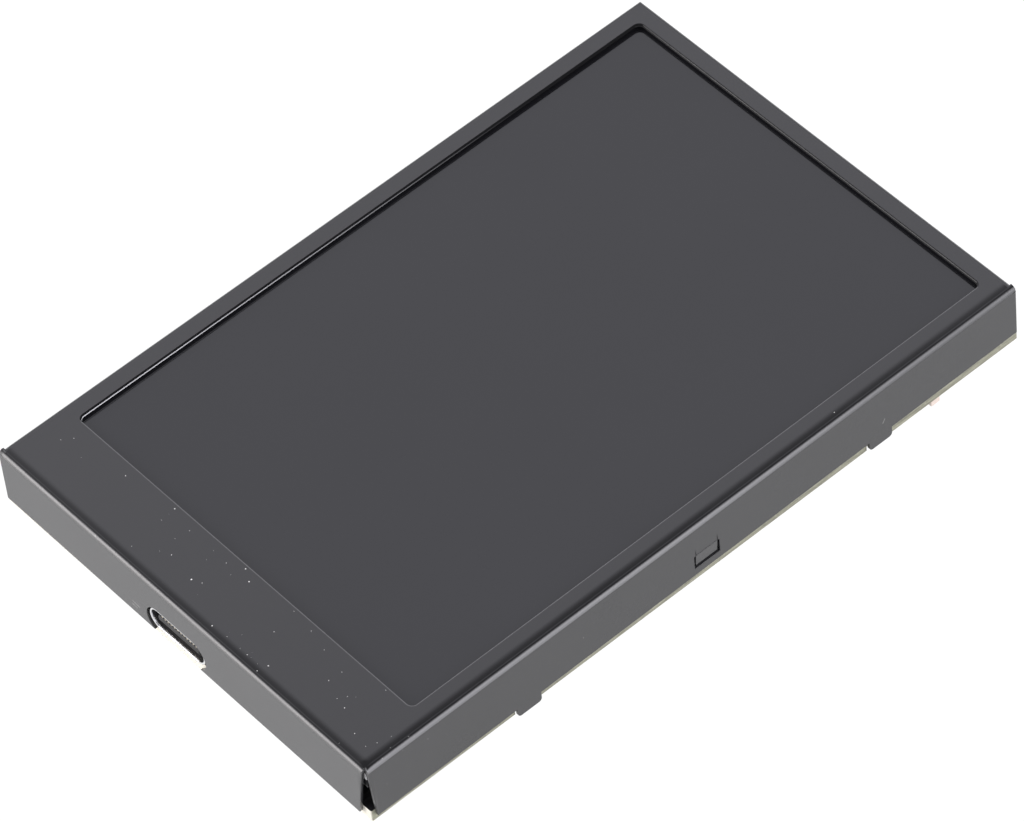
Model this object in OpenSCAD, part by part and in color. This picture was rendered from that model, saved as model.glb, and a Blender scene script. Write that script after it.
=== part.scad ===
// Display module: a liquid-crystal panel under a folded sheet-metal cover, seated
// on a circuit board that carries the data port. Millimetres, +Z up. The origin is
// the centre of the mounting nuts, in the plane of their faces. The port looks
// along -X and the viewing face looks along +Z.

/* [Cover] */
// Length over the two short walls
cover_l = 90; // [86:0.5:110]
// Width over the two long walls
cover_w = 58.6; // [55:0.2:72]
// Height of the viewing face over the circuit board
cover_h = 7.3; // [7.2:0.1:9]
// Thickness of the sheet metal
sheet_t = 0.4; // [0.3:0.05:0.5]
// Outer radius of the folds
fold_r = 0.6; // [0.55:0.05:1]
// Border beside the window at the port end
border_port = 8.8; // [8:0.1:12]
// Border beside the window at the far end
border_far = 2.4; // [2.2:0.1:4]
// Border beside the window along the tabbed side
border_side = 2.9; // [2.4:0.1:4]
// Border beside the window along the other long side
border_back = 2.5; // [2.4:0.1:4]
// Radius of the window's corners
window_r = 0.7; // [0.5:0.1:2]
// Lap of the port wall over the board's edge, at the open corner
port_lap_near = 0.9; // [0.2:0.05:1.2]
// Lap of the port wall over the board's edge, at the other end
port_lap_far = 0.4; // [0.1:0.05:1.2]
// Lap of the tabbed side wall over the board's edge, at the open corner
side_lap_near = 0.65; // [0.2:0.05:1.2]
// Gap between the tabbed side wall and the board's face, at its far end
side_gap_far = 0.05; // [0:0.05:0.6]

/* [Cover tabs and cuts] */
// Width of a locating tab
tab_w = 3.2; // [2:0.1:5]
// Length of a locating tab below its wall
tab_l = 1.3; // [0.8:0.05:1.5]
// Distance between the two tabs of a side wall
tab_spacing = 49; // [40:0.2:60]
// Radius of a tab's lower corners
tab_r = 0.45; // [0.2:0.05:0.6]
// Width of the lance that retains the panel
lance_w = 3.5; // [2:0.05:4]
// Height of the lance that retains the panel
lance_h = 1.9; // [1:0.05:2]
// Width of the slit around the lance
lance_slit = 0.25; // [0.15:0.05:0.4]
// Angle at which the lance is pushed inwards
lance_push = 5; // [0:1:20]
// Width of the open corner at its top
corner_gap = 0.45; // [0.45:0.05:1]
// Slant of the long wall's end at the open corner
corner_slant_side = 0.45; // [0.2:0.05:0.8]
// Slant of the short wall's end at the open corner
corner_slant_port = 1.15; // [0.2:0.05:1.5]

/* [Panel] */
// Thickness of the tape between cover and panel
tape_t = 0.3; // [0.2:0.05:0.3]
// Distance that the tape's edge stands back from the window
tape_back = 0.4; // [0.2:0.05:0.5]
// Thickness of one sheet of glass
glass_t = 0.5; // [0.3:0.05:0.6]
// Lap of the glass under the cover's border
glass_lap = 1; // [0.8:0.05:1.1]
// Length of the lower glass beyond the upper one
ledge_l = 3.2; // [2.6:0.1:3.6]
// Thickness of a polariser
polar_t = 0.2; // [0.1:0.05:0.25]
// Lap of polarisers, films and light guide beyond the window
film_lap = 0.5; // [0.3:0.05:0.6]
// Thickness of the diffusing films
film_t = 0.3; // [0.2:0.05:0.4]
// Thickness of the light guide
guide_t = 0.9; // [0.7:0.05:1]
// Thickness of the reflecting film
reflector_t = 0.1; // [0.05:0.05:0.15]
// Thickness of the panel's steel tray
tray_t = 0.2; // [0.15:0.05:0.3]
// Length of the driver chip on the glass ledge
driver_l = 17; // [10:0.5:20]
// Width of the driver chip on the glass ledge
driver_w = 1.1; // [0.8:0.1:1.3]
// Thickness of the driver chip on the glass ledge
driver_t = 0.3; // [0.2:0.05:0.4]
// Length of one backlight lamp
lamp_l = 3; // [2:0.1:3.8]
// Depth of one backlight lamp
lamp_w = 1; // [0.6:0.05:1.2]
// Width of the strip under the lamps
strip_w = 2.1; // [1.6:0.1:2.2]
// Width of the display's flexible tail
flex_w = 20; // [14:0.5:24]
// Thickness of the flexible tail
flex_t = 0.1; // [0.08:0.01:0.15]
// Length of the tail's soldered end
flex_land = 3; // [2:0.1:4]
// Length of a foam pad
pad_l = 12; // [8:0.5:16]
// Width of a foam pad
pad_w = 7; // [4:0.5:8]

/* [Circuit board] */
// Thickness of the board
board_t = 1.6; // [1.4:0.1:2]
// Distance that the board stands out past the cover's far end
lip_far = 0.45; // [0.2:0.05:1]
// Distance that the board stands out past the cover's plain side wall
lip_side = 0.65; // [0.2:0.05:1]
// Radius of the board's corners
board_r = 0.2; // [0.2:0.1:1.5]

/* [Mounting nuts] */
// Distance between the nuts along the board
nut_spacing_l = 80; // [70:0.5:81]
// Distance between the nuts across the board
nut_spacing_w = 48; // [40:0.5:50]
// Outer diameter of a nut
nut_d = 5; // [4.4:0.1:6]
// Height of a nut below the board
nut_h = 2; // [2:0.1:4]
// Diameter of a nut's bore
nut_bore_d = 2.5; // [2:0.1:3]
// Diameter of a nut's shank in the board
shank_d = 4.2; // [3.6:0.1:4.4]

/* [Data port] */
// Width of the port's shell
port_w = 8.94; // [8.6:0.02:9.4]
// Height of the port's shell
port_h = 3.16; // [3:0.02:3.26]
// Length of the port's shell
port_l = 7.35; // [6.5:0.05:9]
// Thickness of the port's shell
port_t = 0.3; // [0.2:0.05:0.35]
// Offset of the port from the middle of the board
port_y = 0.6; // [-3:0.1:3]
// Width of the port's tongue
tongue_w = 6.7; // [6:0.1:7]
// Thickness of the port's tongue
tongue_t = 0.7; // [0.5:0.05:0.8]
// Distance of the tongue's tip behind the shell's mouth
tongue_back = 0.2; // [0.15:0.05:0.6]
// Radius of the ends of the cover's port cut-out
port_cut_r = 2.1; // [1.9:0.05:2.3]

/* [Board parts] */
// Side of the controller's case
mcu_s = 7; // [5:0.5:8]
// Height of the controller's case
mcu_h = 1.4; // [0.9:0.1:1.6]
// Length of the memory chip's case
mem_l = 4.9; // [4:0.1:6]
// Width of the memory chip's case
mem_w = 3.9; // [3:0.1:5]
// Height of the memory chip's case
mem_h = 1.45; // [1:0.05:1.6]
// Length of the crystal's can
xtal_l = 3.2; // [2:0.1:5]
// Width of the crystal's can
xtal_w = 2.5; // [1.6:0.1:3.2]
// Height of the crystal's can
xtal_h = 0.75; // [0.5:0.05:1.2]
// Length of the regulator's case
reg_l = 6.5; // [5:0.1:7]
// Width of the regulator's case
reg_w = 3.5; // [3:0.1:4]
// Height of the regulator's case
reg_h = 1.6; // [1.2:0.05:1.7]
// Side of the boost coil
coil_s = 4; // [3:0.1:5]
// Height of the boost coil
coil_h = 1.7; // [1:0.1:1.8]
// Length of the boost driver's case
boost_l = 2.9; // [2.5:0.1:3.2]
// Width of the boost driver's case
boost_w = 1.6; // [1.4:0.1:1.8]
// Height of the boost driver's case
boost_h = 1.1; // [0.8:0.05:1.3]
// Length of a ceramic capacitor
cap_l = 2; // [1.6:0.1:2.2]
// Width of a ceramic capacitor
cap_w = 1.25; // [0.8:0.05:1.4]
// Height of a ceramic capacitor
cap_h = 1.2; // [0.6:0.05:1.4]
// Length of a chip resistor
res_l = 1.6; // [1:0.1:2]
// Width of a chip resistor
res_w = 0.8; // [0.5:0.05:1.2]
// Height of a chip resistor
res_h = 0.45; // [0.3:0.05:0.6]

/* [Hidden] */
$fn = 48;
cut = 0.5;              // how far a cutter runs past what it cuts
lap_gap = 0.05;         // board edge to the inside of a lapping wall
fit_gap = 0.1;          // part to the pocket that it drops into
frame_gap = 0.25;       // panel frame to the inside of the cover
notch_gap = 0.45;       // tab to the floor of its notch
notch_side = 0.08;      // tab to the side of its notch
lance_drop = 1.1;       // lance's hinge below the tray
corner_drop = 0.35;     // open corner's top below the viewing face
lance_shift = 0.9;      // lance from the middle of its wall
tab_shift = 0.35;       // middle of a wall's tabs from the middle of the board
lance_root = 0.1;       // lance's run into the wall above its pocket
corner_land = 0.5;      // port wall's end behind the side wall's face, at the open corner
fold_end = 0.1;         // straight fold's run past the fold that meets it
port_cut_side = 0.25;   // port cut-out beside the shell
port_cut_shift = 0.1;   // port cut-out's middle from the shell's
port_cut_rise = 0.14;   // port cut-out over the shell
port_back = 0.1;        // shell's mouth behind the port wall's face
driver_gap = 0.3;       // driver chip to the upper glass
tail_side = 0.5;        // room beside the looped tail
pad_inset = 1.5;        // foam pad to the panel frame's edge
chip_lift = 0.1;        // chip case to the board
lead_t = 0.15;          // thickness of a chip's lead
skin = 0.02;            // height of an end cap over its chip part's body
shank_back = 0.4;       // nut's shank below the board's upper face

// Plan: the board is centred and the cover laps two of its edges.
board_l = cover_l - sheet_t - lap_gap + lip_far;
board_w = cover_w - sheet_t - lap_gap + lip_side;
cover_x = [-board_l / 2 - lap_gap - sheet_t, board_l / 2 - lip_far];
cover_y = [-board_w / 2 - lap_gap - sheet_t, board_w / 2 - lip_side];
inner_x = grow(cover_x, -sheet_t);
inner_y = grow(cover_y, -sheet_t);
window_x = [cover_x[0] + border_port, cover_x[1] - border_far];
window_y = [cover_y[0] + border_side, cover_y[1] - border_back];
frame_x = grow(inner_x, -frame_gap);
frame_y = grow(inner_y, -frame_gap);
glass_x = grow(window_x, glass_lap);
glass_y = grow(window_y, glass_lap);
ledge_x = [glass_x[0] - ledge_l, glass_x[1]];
film_x = grow(window_x, film_lap);
film_y = grow(window_y, film_lap);
mid_y = (cover_y[0] + cover_y[1]) / 2;
mid_x = (cover_x[0] + cover_x[1]) / 2;

// Levels, from the nut faces up to the board and from the viewing face down.
board_bottom = nut_h;
board_top = board_bottom + board_t;
cover_top = board_top + cover_h;
cover_under = cover_top - sheet_t;
panel_top = cover_under - tape_t;
upper_top = panel_top - polar_t;
lower_top = upper_top - glass_t;
lower_bottom = lower_top - glass_t;
film_top = lower_bottom - polar_t;
guide_top = film_top - film_t;
guide_bottom = guide_top - guide_t;
tray_top = guide_bottom - reflector_t;
tray_bottom = tray_top - tray_t;
fold_line = cover_top - fold_r;
inner_fold_r = fold_r - sheet_t;

// Cover: lower edges, tabs and cuts.
port_edge = [board_top - port_lap_near, board_top - port_lap_far];
side_edge = [board_top - side_lap_near, board_top + side_gap_far];
tab_x = about(tab_shift, tab_spacing);
lance_x = mid_x + lance_shift;
lance_top = tray_bottom - lance_drop;
cut_z = board_top + port_h + port_cut_rise - port_cut_r;
cut_w = port_w + 2 * port_cut_side;

// Panel: lamps, tail and pads. The tail loops down round the panel's end, runs
// back below the tray and drops to the board in two arcs.
lamp_count = 6;
lamp_h = guide_t - fit_gap;
lamp_pitch = (film_y[1] - film_y[0]) / lamp_count;
strip_x = film_x[0] - fit_gap - strip_w;
tail_run = 0.9;         // tail's flat run past the ledge
tail_gap = 0.25;        // tail to the tray above it
tail_grip = 1;          // tail's lap on the ledge
tail_y = about(mid_y, flex_w);
tail_top = lower_top + flex_t / 2;
tail_low = tray_bottom - tail_gap - flex_t / 2;
tail_end = board_top + flex_t / 2;
loop_r = (tail_top - tail_low) / 2;
loop_x = ledge_x[0] - tail_run;
drop_ratio = 0.9;       // radius of the tail's last two arcs over their drop
drop_r = (tail_low - tail_end) * drop_ratio;
drop_angle = acos(1 - (tail_low - tail_end) / 2 / drop_r);
drop_back = 9;          // tail's drop behind the port
drop_x = cover_x[0] + port_l + drop_back;
drop_end_x = drop_x + 2 * drop_r * sin(drop_angle);
pad_x = board_l * 0.31;
pad_y = frame_y[1] - pad_w / 2 - pad_inset;

// Port.
port_x = cover_x[0] + port_back;
port_z = board_top + port_h / 2;
core_l = 2.2;
leg_w = 1.1;
leg_front = 2.2;        // front leg behind the shell's mouth
leg_l = board_t + 0.2;
leg_x = [port_x + leg_front, port_x + port_l - leg_w];
contact_count = 12;
contact_pitch = 0.5;
contact_w = 0.25;
contact_t = 0.05;
contact_back = 0.05;    // contact's tip behind the tongue's tip

// Leads of each chip: pitch, width and reach.
mcu_lead = [0.5, 0.22, 1];
mem_lead = [1.27, 0.42, 1.05];
reg_lead = [2.3, 0.7, 1.75];
reg_tab = [0, 3, 1.75];
boost_lead = [0.95, 0.38, 0.6];

// Length of an end cap on a chip capacitor and on a chip resistor.
cap_end = cap_l * 0.22;
res_end = res_l * 0.2;

// Places of the parts under the board, as x, y and turn.
mcu_at = [-13, 3, 0];
mem_at = [3, 4.5, 90];
xtal_at = [-14, -8, 0];
reg_at = [-30, 13, 90];
coil_at = [22, 8, 0];
boost_at = [16, 13, 0];
edge_cap_y = -board_w / 2 + 0.25 + cap_l / 2;
cap_at = [
    [33.3, edge_cap_y, 90],
    [-24, 16, 90],
    [-24, 10, 90],
    [-19.5, 8, 90],
    [-7, 10, 0],
    [-19, -8, 90],
    [27, 8, 90],
    [11, 13, 90]
];
res_at = [
    [-9, -8, 90],
    [-6.5, -8, 90],
    [9, 1, 0],
    [20, 13, 90],
    [-31, -9, 0],
    [-31, -6.5, 0]
];

function grow(span, by) = [span[0] - by, span[1] + by];
function size(span) = span[1] - span[0];
// Span of width w about a middle.
function about(middle, w) = [middle - w / 2, middle + w / 2];
// Corner i of a rectangle about the origin, counted from -x, -y.
function corner(i, l, w) = [(i % 2 - 0.5) * l, (floor(i / 2) - 0.5) * w, 0];

// Block over two spans in plan, between two levels
module slab(x, y, low, high) {
    translate([x[0], y[0], low])
        cube([size(x), size(y), high - low]);
}

// Flat outline over two spans, with round corners
module round_plan(x, y, r) {
    translate([x[0] + r, y[0]])
        square([size(x) - 2 * r, size(y)]);
    translate([x[0], y[0] + r])
        square([size(x), size(y) - 2 * r]);
    for (cx = [x[0] + r, x[1] - r], cy = [y[0] + r, y[1] - r])
        translate([cx, cy])
            circle(r = r);
}

// Upright section over a span, with round upper corners
module arch(span, low, high, r) {
    difference() {
        translate([span[0], low])
            square([size(span), high - low]);
        for (side = [0, 1])
            translate([span[side], high])
                mirror([side, 0])
                    spandrel(r);
    }
}

// What a fold takes off a square corner, drawn for an upper left corner
module spandrel(r) {
    difference() {
        translate([-cut, -r])
            square([r + cut, r + cut]);
        translate([r, -r])
            circle(r = r);
    }
}

// Raises a section drawn in x and z, over a span of y
module along_y(y) {
    translate([0, y[1], 0])
        rotate([90, 0, 0])
            linear_extrude(size(y))
                children();
}

// Raises a section drawn in y and z, over a span of x
module along_x(x) {
    translate([x[0], 0, 0])
        rotate([90, 0, 90])
            linear_extrude(size(x))
                children();
}

// Block whose upper edges are round and whose upright edges are square
module crown(x, y, low, high, r) {
    intersection() {
        along_y(y)
            arch(x, low, high, r);
        along_x(x)
            arch(y, low, high, r);
    }
}

// Top of the cover with its folds. Two folds run straight to their walls' ends: the
// tabbed side wall's at the far end, and the port wall's at the plain side wall.
module folded_top() {
    run = fold_r + fold_end;
    intersection() {
        union() {
            along_y(cover_y)
                arch(cover_x, fold_line, cover_top, fold_r);
            slab([cover_x[1] - run, cover_x[1]], [cover_y[0], cover_y[0] + run], fold_line, cover_top);
        }
        union() {
            along_x(cover_x)
                arch(cover_y, fold_line, cover_top, fold_r);
            slab([cover_x[0], cover_x[0] + run], [cover_y[1] - run, cover_y[1]], fold_line, cover_top);
        }
    }
}

// Outline of a side wall with its two tabs, over its length and height. It starts at
// x, past the port wall where that one covers its end.
module side_outline(edge, x) {
    polygon([
        [x, edge_at(edge, x)],
        [cover_x[1], edge[1]],
        [cover_x[1], fold_line],
        [x, fold_line]
    ]);
    for (middle = tab_x)
        tab_outline(middle, edge_at(edge, middle));
}

function edge_at(edge, x) =
    edge[0] + (edge[1] - edge[0]) * (x - cover_x[0]) / cover_l;

// One locating tab that hangs from a wall's lower edge
module tab_outline(x, edge) {
    translate([x - tab_w / 2, edge - tab_l + tab_r])
        square([tab_w, tab_l - tab_r + cut]);
    translate([x - tab_w / 2 + tab_r, edge - tab_l])
        square([tab_w - 2 * tab_r, tab_l]);
    for (side = [-1, 1])
        translate([x + side * (tab_w / 2 - tab_r), edge - tab_l + tab_r])
            circle(r = tab_r);
}

// Outline of a short wall between the side walls, over its width and height
module end_outline(edge) {
    wall_outline(grow(inner_y, -fit_gap), edge);
}

// Outline of the port wall, which covers the plain side wall's end
module port_outline(edge) {
    wall_outline(cover_y, edge);
}

// Outline of a short wall over a span of y, down to an edge that may slope
module wall_outline(y, edge) {
    polygon([
        [y[0], edge[0]],
        [y[1], edge[1]],
        [y[1], fold_line],
        [y[0], fold_line]
    ]);
}

// Pocket cut around a lance, through the wall that spans y
module lance_pocket(y) {
    slab(about(lance_x, lance_w), grow(y, cut), lance_top - lance_h, lance_top);
}

// The lance itself, hinged at its top on the wall's outer face
module lance(outer_y, inward) {
    w = lance_w - 2 * lance_slit;
    translate([lance_x, outer_y, lance_top])
        rotate([inward * lance_push, 0, 0])
            translate([-w / 2, inward > 0 ? 0 : -sheet_t, lance_slit - lance_h])
                cube([w, sheet_t, lance_h - lance_slit + lance_root]);
}

// Wedges that open the corner between the port wall and the tabbed side wall
module open_corner() {
    along_y([cover_y[0] - cut, cover_y[0] + corner_land])
        corner_wedge(inner_x[0], cover_x[0] + corner_gap, corner_slant_side);
    along_x([cover_x[0] - cut, inner_x[0]])
        corner_wedge(cover_y[0] - cut, cover_y[0] + corner_land, corner_slant_port);
}

// Upright section of a wedge, from a straight side to one that slants out below
module corner_wedge(from, to, slant) {
    high = cover_top - corner_drop;
    low = board_bottom - cut;
    drop = (high - low) / (high - board_top);
    polygon([
        [from, cover_top + cut],
        [to, cover_top + cut],
        [to, high],
        [to + slant * drop, low],
        [from, low]
    ]);
}

// Port cut-out, drawn over the port wall's width and height
module port_cut_outline() {
    flat = cut_w / 2 - port_cut_r;
    middle = port_y + port_cut_shift;
    translate([middle - flat, cut_z - port_cut_r])
        square([2 * flat, 2 * port_cut_r]);
    for (side = [-1, 1])
        translate([middle + side * flat, cut_z])
            circle(r = port_cut_r);
}

// Folded sheet-metal cover with its window, walls, tabs and lances
module front_cover() {
    color([0.33, 0.33, 0.34])
    difference() {
        union() {
            difference() {
                folded_top();
                crown(inner_x, inner_y, fold_line - cut, cover_under, inner_fold_r);
                translate([0, 0, cover_under - cut])
                    linear_extrude(sheet_t + 2 * cut)
                        round_plan(window_x, window_y, window_r);
            }
            difference() {
                union() {
                    along_y([cover_y[0], inner_y[0]])
                        side_outline(side_edge, cover_x[0]);
                    along_y([inner_y[1], cover_y[1]])
                        side_outline([board_top, board_top], inner_x[0] + fit_gap);
                    along_x([cover_x[0], inner_x[0]])
                        port_outline(port_edge);
                    along_x([inner_x[1], cover_x[1]])
                        end_outline([board_top, board_top]);
                }
                lance_pocket([cover_y[0], inner_y[0]]);
                lance_pocket([inner_y[1], cover_y[1]]);
            }
            lance(cover_y[0], 1);
            lance(cover_y[1], -1);
        }
        open_corner();
        along_x(grow([cover_x[0], inner_x[0]], cut / 2))
            port_cut_outline();
    }
}

// Adhesive tape between the cover's border and the panel
module bezel_tape() {
    outer = inner_fold_r + fit_gap;
    hole_x = grow(window_x, tape_back);
    hole_y = grow(window_y, tape_back);
    color([0.05, 0.05, 0.05])
    difference() {
        slab(grow(inner_x, -outer), grow(inner_y, -outer), panel_top, cover_under);
        slab(hole_x, hole_y, panel_top - cut, cover_under + cut);
    }
}

// Polariser on the viewing side of the glass
module front_polariser() {
    color([0.09, 0.09, 0.1])
        slab(grow(glass_x, -fit_gap), grow(glass_y, -fit_gap), upper_top, panel_top);
}

// Glass sheet on the viewing side
module upper_glass() {
    color([0.16, 0.18, 0.19])
        slab(glass_x, glass_y, lower_top, upper_top);
}

// Glass sheet with the ledge that carries the driver chip
module lower_glass() {
    color([0.18, 0.2, 0.21])
        slab(ledge_x, glass_y, lower_bottom, lower_top);
}

// Driver chip bonded to the glass ledge
module driver_chip() {
    x = glass_x[0] - driver_gap - driver_w;
    color([0.25, 0.25, 0.27])
        slab([x, x + driver_w], about(mid_y, driver_l), lower_top, lower_top + driver_t);
}

// Polariser behind the glass
module rear_polariser() {
    color([0.12, 0.12, 0.13])
        slab(film_x, film_y, film_top, lower_bottom);
}

// Stack of diffusing and prism films
module diffuser_film() {
    color([0.9, 0.9, 0.92])
        slab(film_x, film_y, guide_top, film_top);
}

// Clear plate that spreads the lamps' light
module light_guide() {
    color([0.88, 0.93, 0.95])
        slab(film_x, film_y, guide_bottom, guide_top);
}

// White film behind the light guide
module reflector_film() {
    color([0.95, 0.95, 0.95])
        slab(film_x, film_y, tray_top, guide_bottom);
}

// Room around the looped tail at the port end of the panel
module tail_room() {
    x = [frame_x[0] - cut, ledge_x[0] - fit_gap];
    slab(x, grow(tail_y, tail_side), tray_bottom - cut, panel_top + cut);
}

// White moulded frame that holds the glass over the light guide
module panel_frame() {
    bevel = inner_fold_r;
    color([0.93, 0.93, 0.92])
    difference() {
        intersection() {
            along_y(frame_y)
                bevelled_section(frame_x, tray_top, panel_top, bevel);
            along_x(frame_x)
                bevelled_section(frame_y, tray_top, panel_top, bevel);
        }
        slab(grow(ledge_x, fit_gap), grow(glass_y, fit_gap), lower_bottom, panel_top + cut);
        slab(grow(film_x, fit_gap), grow(film_y, fit_gap), tray_top - cut, panel_top);
        slab([strip_x - fit_gap, film_x[0]], grow(film_y, fit_gap), tray_top - cut, guide_top);
        tail_room();
    }
}

// Upright section over a span, with bevelled upper corners
module bevelled_section(span, low, high, bevel) {
    polygon([
        [span[0], low],
        [span[1], low],
        [span[1], high - bevel],
        [span[1] - bevel, high],
        [span[0] + bevel, high],
        [span[0], high - bevel]
    ]);
}

// Steel plate that closes the back of the panel
module rear_tray() {
    color([0.72, 0.73, 0.74])
    difference() {
        slab(frame_x, frame_y, tray_bottom, tray_top);
        tail_room();
    }
}

// Flexible strip that the lamps are soldered to
module lamp_strip() {
    color([0.85, 0.6, 0.25])
        slab([strip_x, strip_x + strip_w], film_y, tray_top, tray_top + reflector_t);
}

// Side-lighting lamp number i
module lamp(i) {
    y = film_y[0] + (i - 0.5) * lamp_pitch;
    x = film_x[0] - fit_gap - lamp_w;
    low = tray_top + reflector_t;
    color([0.96, 0.94, 0.75])
        slab([x, x + lamp_w], about(y, lamp_l), low, low + lamp_h);
}

// One edge of the tail's section, at distance s outside its middle line
function tail_edge(s) = concat(
    [[ledge_x[0] + tail_grip, tail_top + s]],
    [for (a = [90:15:270]) tail_loop(a, loop_r + s)],
    [for (k = [0:5]) tail_drop(k * drop_angle / 5, drop_r - s)],
    [for (k = [5:-1:0]) tail_rise(k * drop_angle / 5, drop_r + s)],
    [[drop_end_x + flex_land, tail_end - s]]
);
function tail_loop(a, r) = [loop_x + r * cos(a), tail_top - loop_r + r * sin(a)];
function tail_drop(a, r) = [drop_x + r * sin(a), tail_low - drop_r + r * cos(a)];
function tail_rise(a, r) = [drop_end_x - r * sin(a), tail_end + drop_r - r * cos(a)];
function reversed(list) = [for (i = [len(list) - 1:-1:0]) list[i]];

// Flexible tail from the glass ledge, round the panel's end to the board
module display_tail() {
    color([0.8, 0.52, 0.2])
        along_y(tail_y)
            polygon(concat(tail_edge(flex_t / 2), reversed(tail_edge(-flex_t / 2))));
}

// Foam pad number i, between the board and the panel's tray
module foam_pad(i) {
    at = corner(i - 1, 2 * pad_x, 2 * (pad_y - mid_y));
    color([0.12, 0.12, 0.12])
        slab(about(at[0], pad_l), about(mid_y + at[1], pad_w), board_top, tray_bottom);
}

// Circuit board with notches for the tabs and holes for nuts and port legs
module circuit_board() {
    edge_x = [-board_l / 2, board_l / 2];
    edge_y = [-board_w / 2, board_w / 2];
    color([0.06, 0.06, 0.07])
    translate([0, 0, board_bottom])
    difference() {
        linear_extrude(board_t)
            round_plan(edge_x, edge_y, board_r);
        for (x = tab_x) {
            notch(x, [edge_y[0] - cut, inner_y[0] + notch_gap]);
            notch(x, [inner_y[1] - notch_gap, edge_y[1] + cut]);
        }
        for (i = [0:3])
            translate(corner(i, nut_spacing_l, nut_spacing_w) - [0, 0, cut])
                cylinder(d = shank_d + fit_gap, h = board_t + 2 * cut);
        for (x = leg_x, side = [-1, 1])
            slab(
                about(x, leg_w + 2 * fit_gap), grow(leg_span(side), fit_gap),
                -cut, board_t + cut
            );
    }
}

// Notch for the tab at x, cut through the board over a span of y
module notch(x, y) {
    slab(about(x, tab_w + 2 * notch_side), y, -cut, board_t + cut);
}

// Span in y of a port leg on one side
function leg_span(side) = about(port_y + side * (port_w - port_t) / 2, port_t);

// Round-ended section of the port, drawn over the port's width and height
module port_section(w, h) {
    flat = (w - h) / 2;
    translate([port_y - flat, port_z - h / 2])
        square([2 * flat, h]);
    for (side = [-1, 1])
        translate([port_y + side * flat, port_z])
            circle(d = h);
}

// Drawn steel shell of the port with its four legs
module port_shell() {
    span = [port_x, port_x + port_l];
    color([0.8, 0.8, 0.82]) {
        difference() {
            along_x(span)
                port_section(port_w, port_h);
            along_x(grow(span, cut))
                port_section(port_w - 2 * port_t, port_h - 2 * port_t);
        }
        for (x = leg_x, side = [-1, 1])
            slab(about(x, leg_w), leg_span(side), board_top - leg_l, port_z);
    }
}

// Moulded insulator: the plug that fills the shell's back, and its tongue
module port_core() {
    back = port_x + port_l;
    color([0.08, 0.08, 0.08]) {
        along_x([back - core_l, back])
            port_section(port_w - 2 * port_t, port_h - 2 * port_t);
        slab(
            [port_x + tongue_back, back - core_l / 2], about(port_y, tongue_w),
            port_z - tongue_t / 2, port_z + tongue_t / 2
        );
    }
}

// Two rows of flat contacts, above and below the tongue
module port_contacts() {
    x = [port_x + tongue_back + contact_back, port_x + port_l - core_l];
    color([0.85, 0.7, 0.35])
    for (i = [0:contact_count - 1], side = [-1, 1]) {
        y = port_y + (i - (contact_count - 1) / 2) * contact_pitch;
        z = about(port_z + side * (tongue_t + contact_t) / 2, contact_t);
        slab(x, about(y, contact_w), z[0], z[1]);
    }
}

// Places a part under the board, turned about its own middle, z measured downwards
module under_board(at) {
    translate([at[0], at[1], board_bottom])
        mirror([0, 0, 1])
            rotate([0, 0, at[2]])
                children();
}

// Case of a chip over its length, width and height, lifted by its leads
module chip_case(l, w, h) {
    slab(about(0, l), about(0, w), chip_lift, h);
}

// Row of bent leads that leave a case of height h at distance out, along +y
module lead_row(count, lead, out, h) {
    pitch = lead[0];
    reach = lead[2];
    shoulder = h / 2;
    bend = reach * 0.4;
    for (i = [0:count - 1])
        translate([(i - (count - 1) / 2) * pitch, 0, 0])
            along_x(about(0, lead[1])) {
                translate([out, shoulder])
                    square([bend, lead_t]);
                translate([out + bend - lead_t, 0])
                    square([lead_t, shoulder + lead_t]);
                translate([out + bend - lead_t, 0])
                    square([reach - bend + lead_t, lead_t]);
            }
}

// Case of the controller
module controller() {
    color([0.13, 0.13, 0.14])
        under_board(mcu_at)
            chip_case(mcu_s, mcu_s, mcu_h);
}

// Leads on the controller's four sides
module controller_leads() {
    count = floor(mcu_s / mcu_lead[0]) - 2;
    color([0.75, 0.75, 0.76])
        under_board(mcu_at)
            for (turn = [0:90:270])
                rotate([0, 0, turn])
                    lead_row(count, mcu_lead, mcu_s / 2, mcu_h);
}

// Case of the memory chip
module memory_chip() {
    color([0.13, 0.13, 0.14])
        under_board(mem_at)
            chip_case(mem_l, mem_w, mem_h);
}

// Leads on two sides of the memory chip
module memory_leads() {
    count = floor((mem_l - 1) / mem_lead[0]) + 1;
    color([0.75, 0.75, 0.76])
        under_board(mem_at)
            for (turn = [0, 180])
                rotate([0, 0, turn])
                    lead_row(count, mem_lead, mem_w / 2, mem_h);
}

// Crystal in its metal can
module crystal() {
    color([0.8, 0.79, 0.75])
        under_board(xtal_at)
            slab(about(0, xtal_l), about(0, xtal_w), 0, xtal_h);
}

// Case of the voltage regulator
module regulator() {
    color([0.13, 0.13, 0.14])
        under_board(reg_at)
            chip_case(reg_l, reg_w, reg_h);
}

// The regulator's three leads and its wide cooling tab
module regulator_leads() {
    color([0.75, 0.75, 0.76])
        under_board(reg_at) {
            lead_row(3, reg_lead, reg_w / 2, reg_h);
            rotate([0, 0, 180])
                lead_row(1, reg_tab, reg_w / 2, reg_h);
        }
}

// Shielded coil of the backlight's supply
module boost_coil() {
    side = about(0, coil_s);
    color([0.2, 0.2, 0.21])
        under_board(coil_at)
            linear_extrude(coil_h)
                round_plan(side, side, coil_s * 0.2);
}

// Case of the backlight's driver chip
module boost_driver() {
    color([0.13, 0.13, 0.14])
        under_board(boost_at)
            chip_case(boost_l, boost_w, boost_h);
}

// Leads on two sides of the backlight's driver chip
module boost_leads() {
    color([0.75, 0.75, 0.76])
        under_board(boost_at)
            for (turn = [0, 180])
                rotate([0, 0, turn])
                    lead_row(3, boost_lead, boost_w / 2, boost_h);
}

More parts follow.
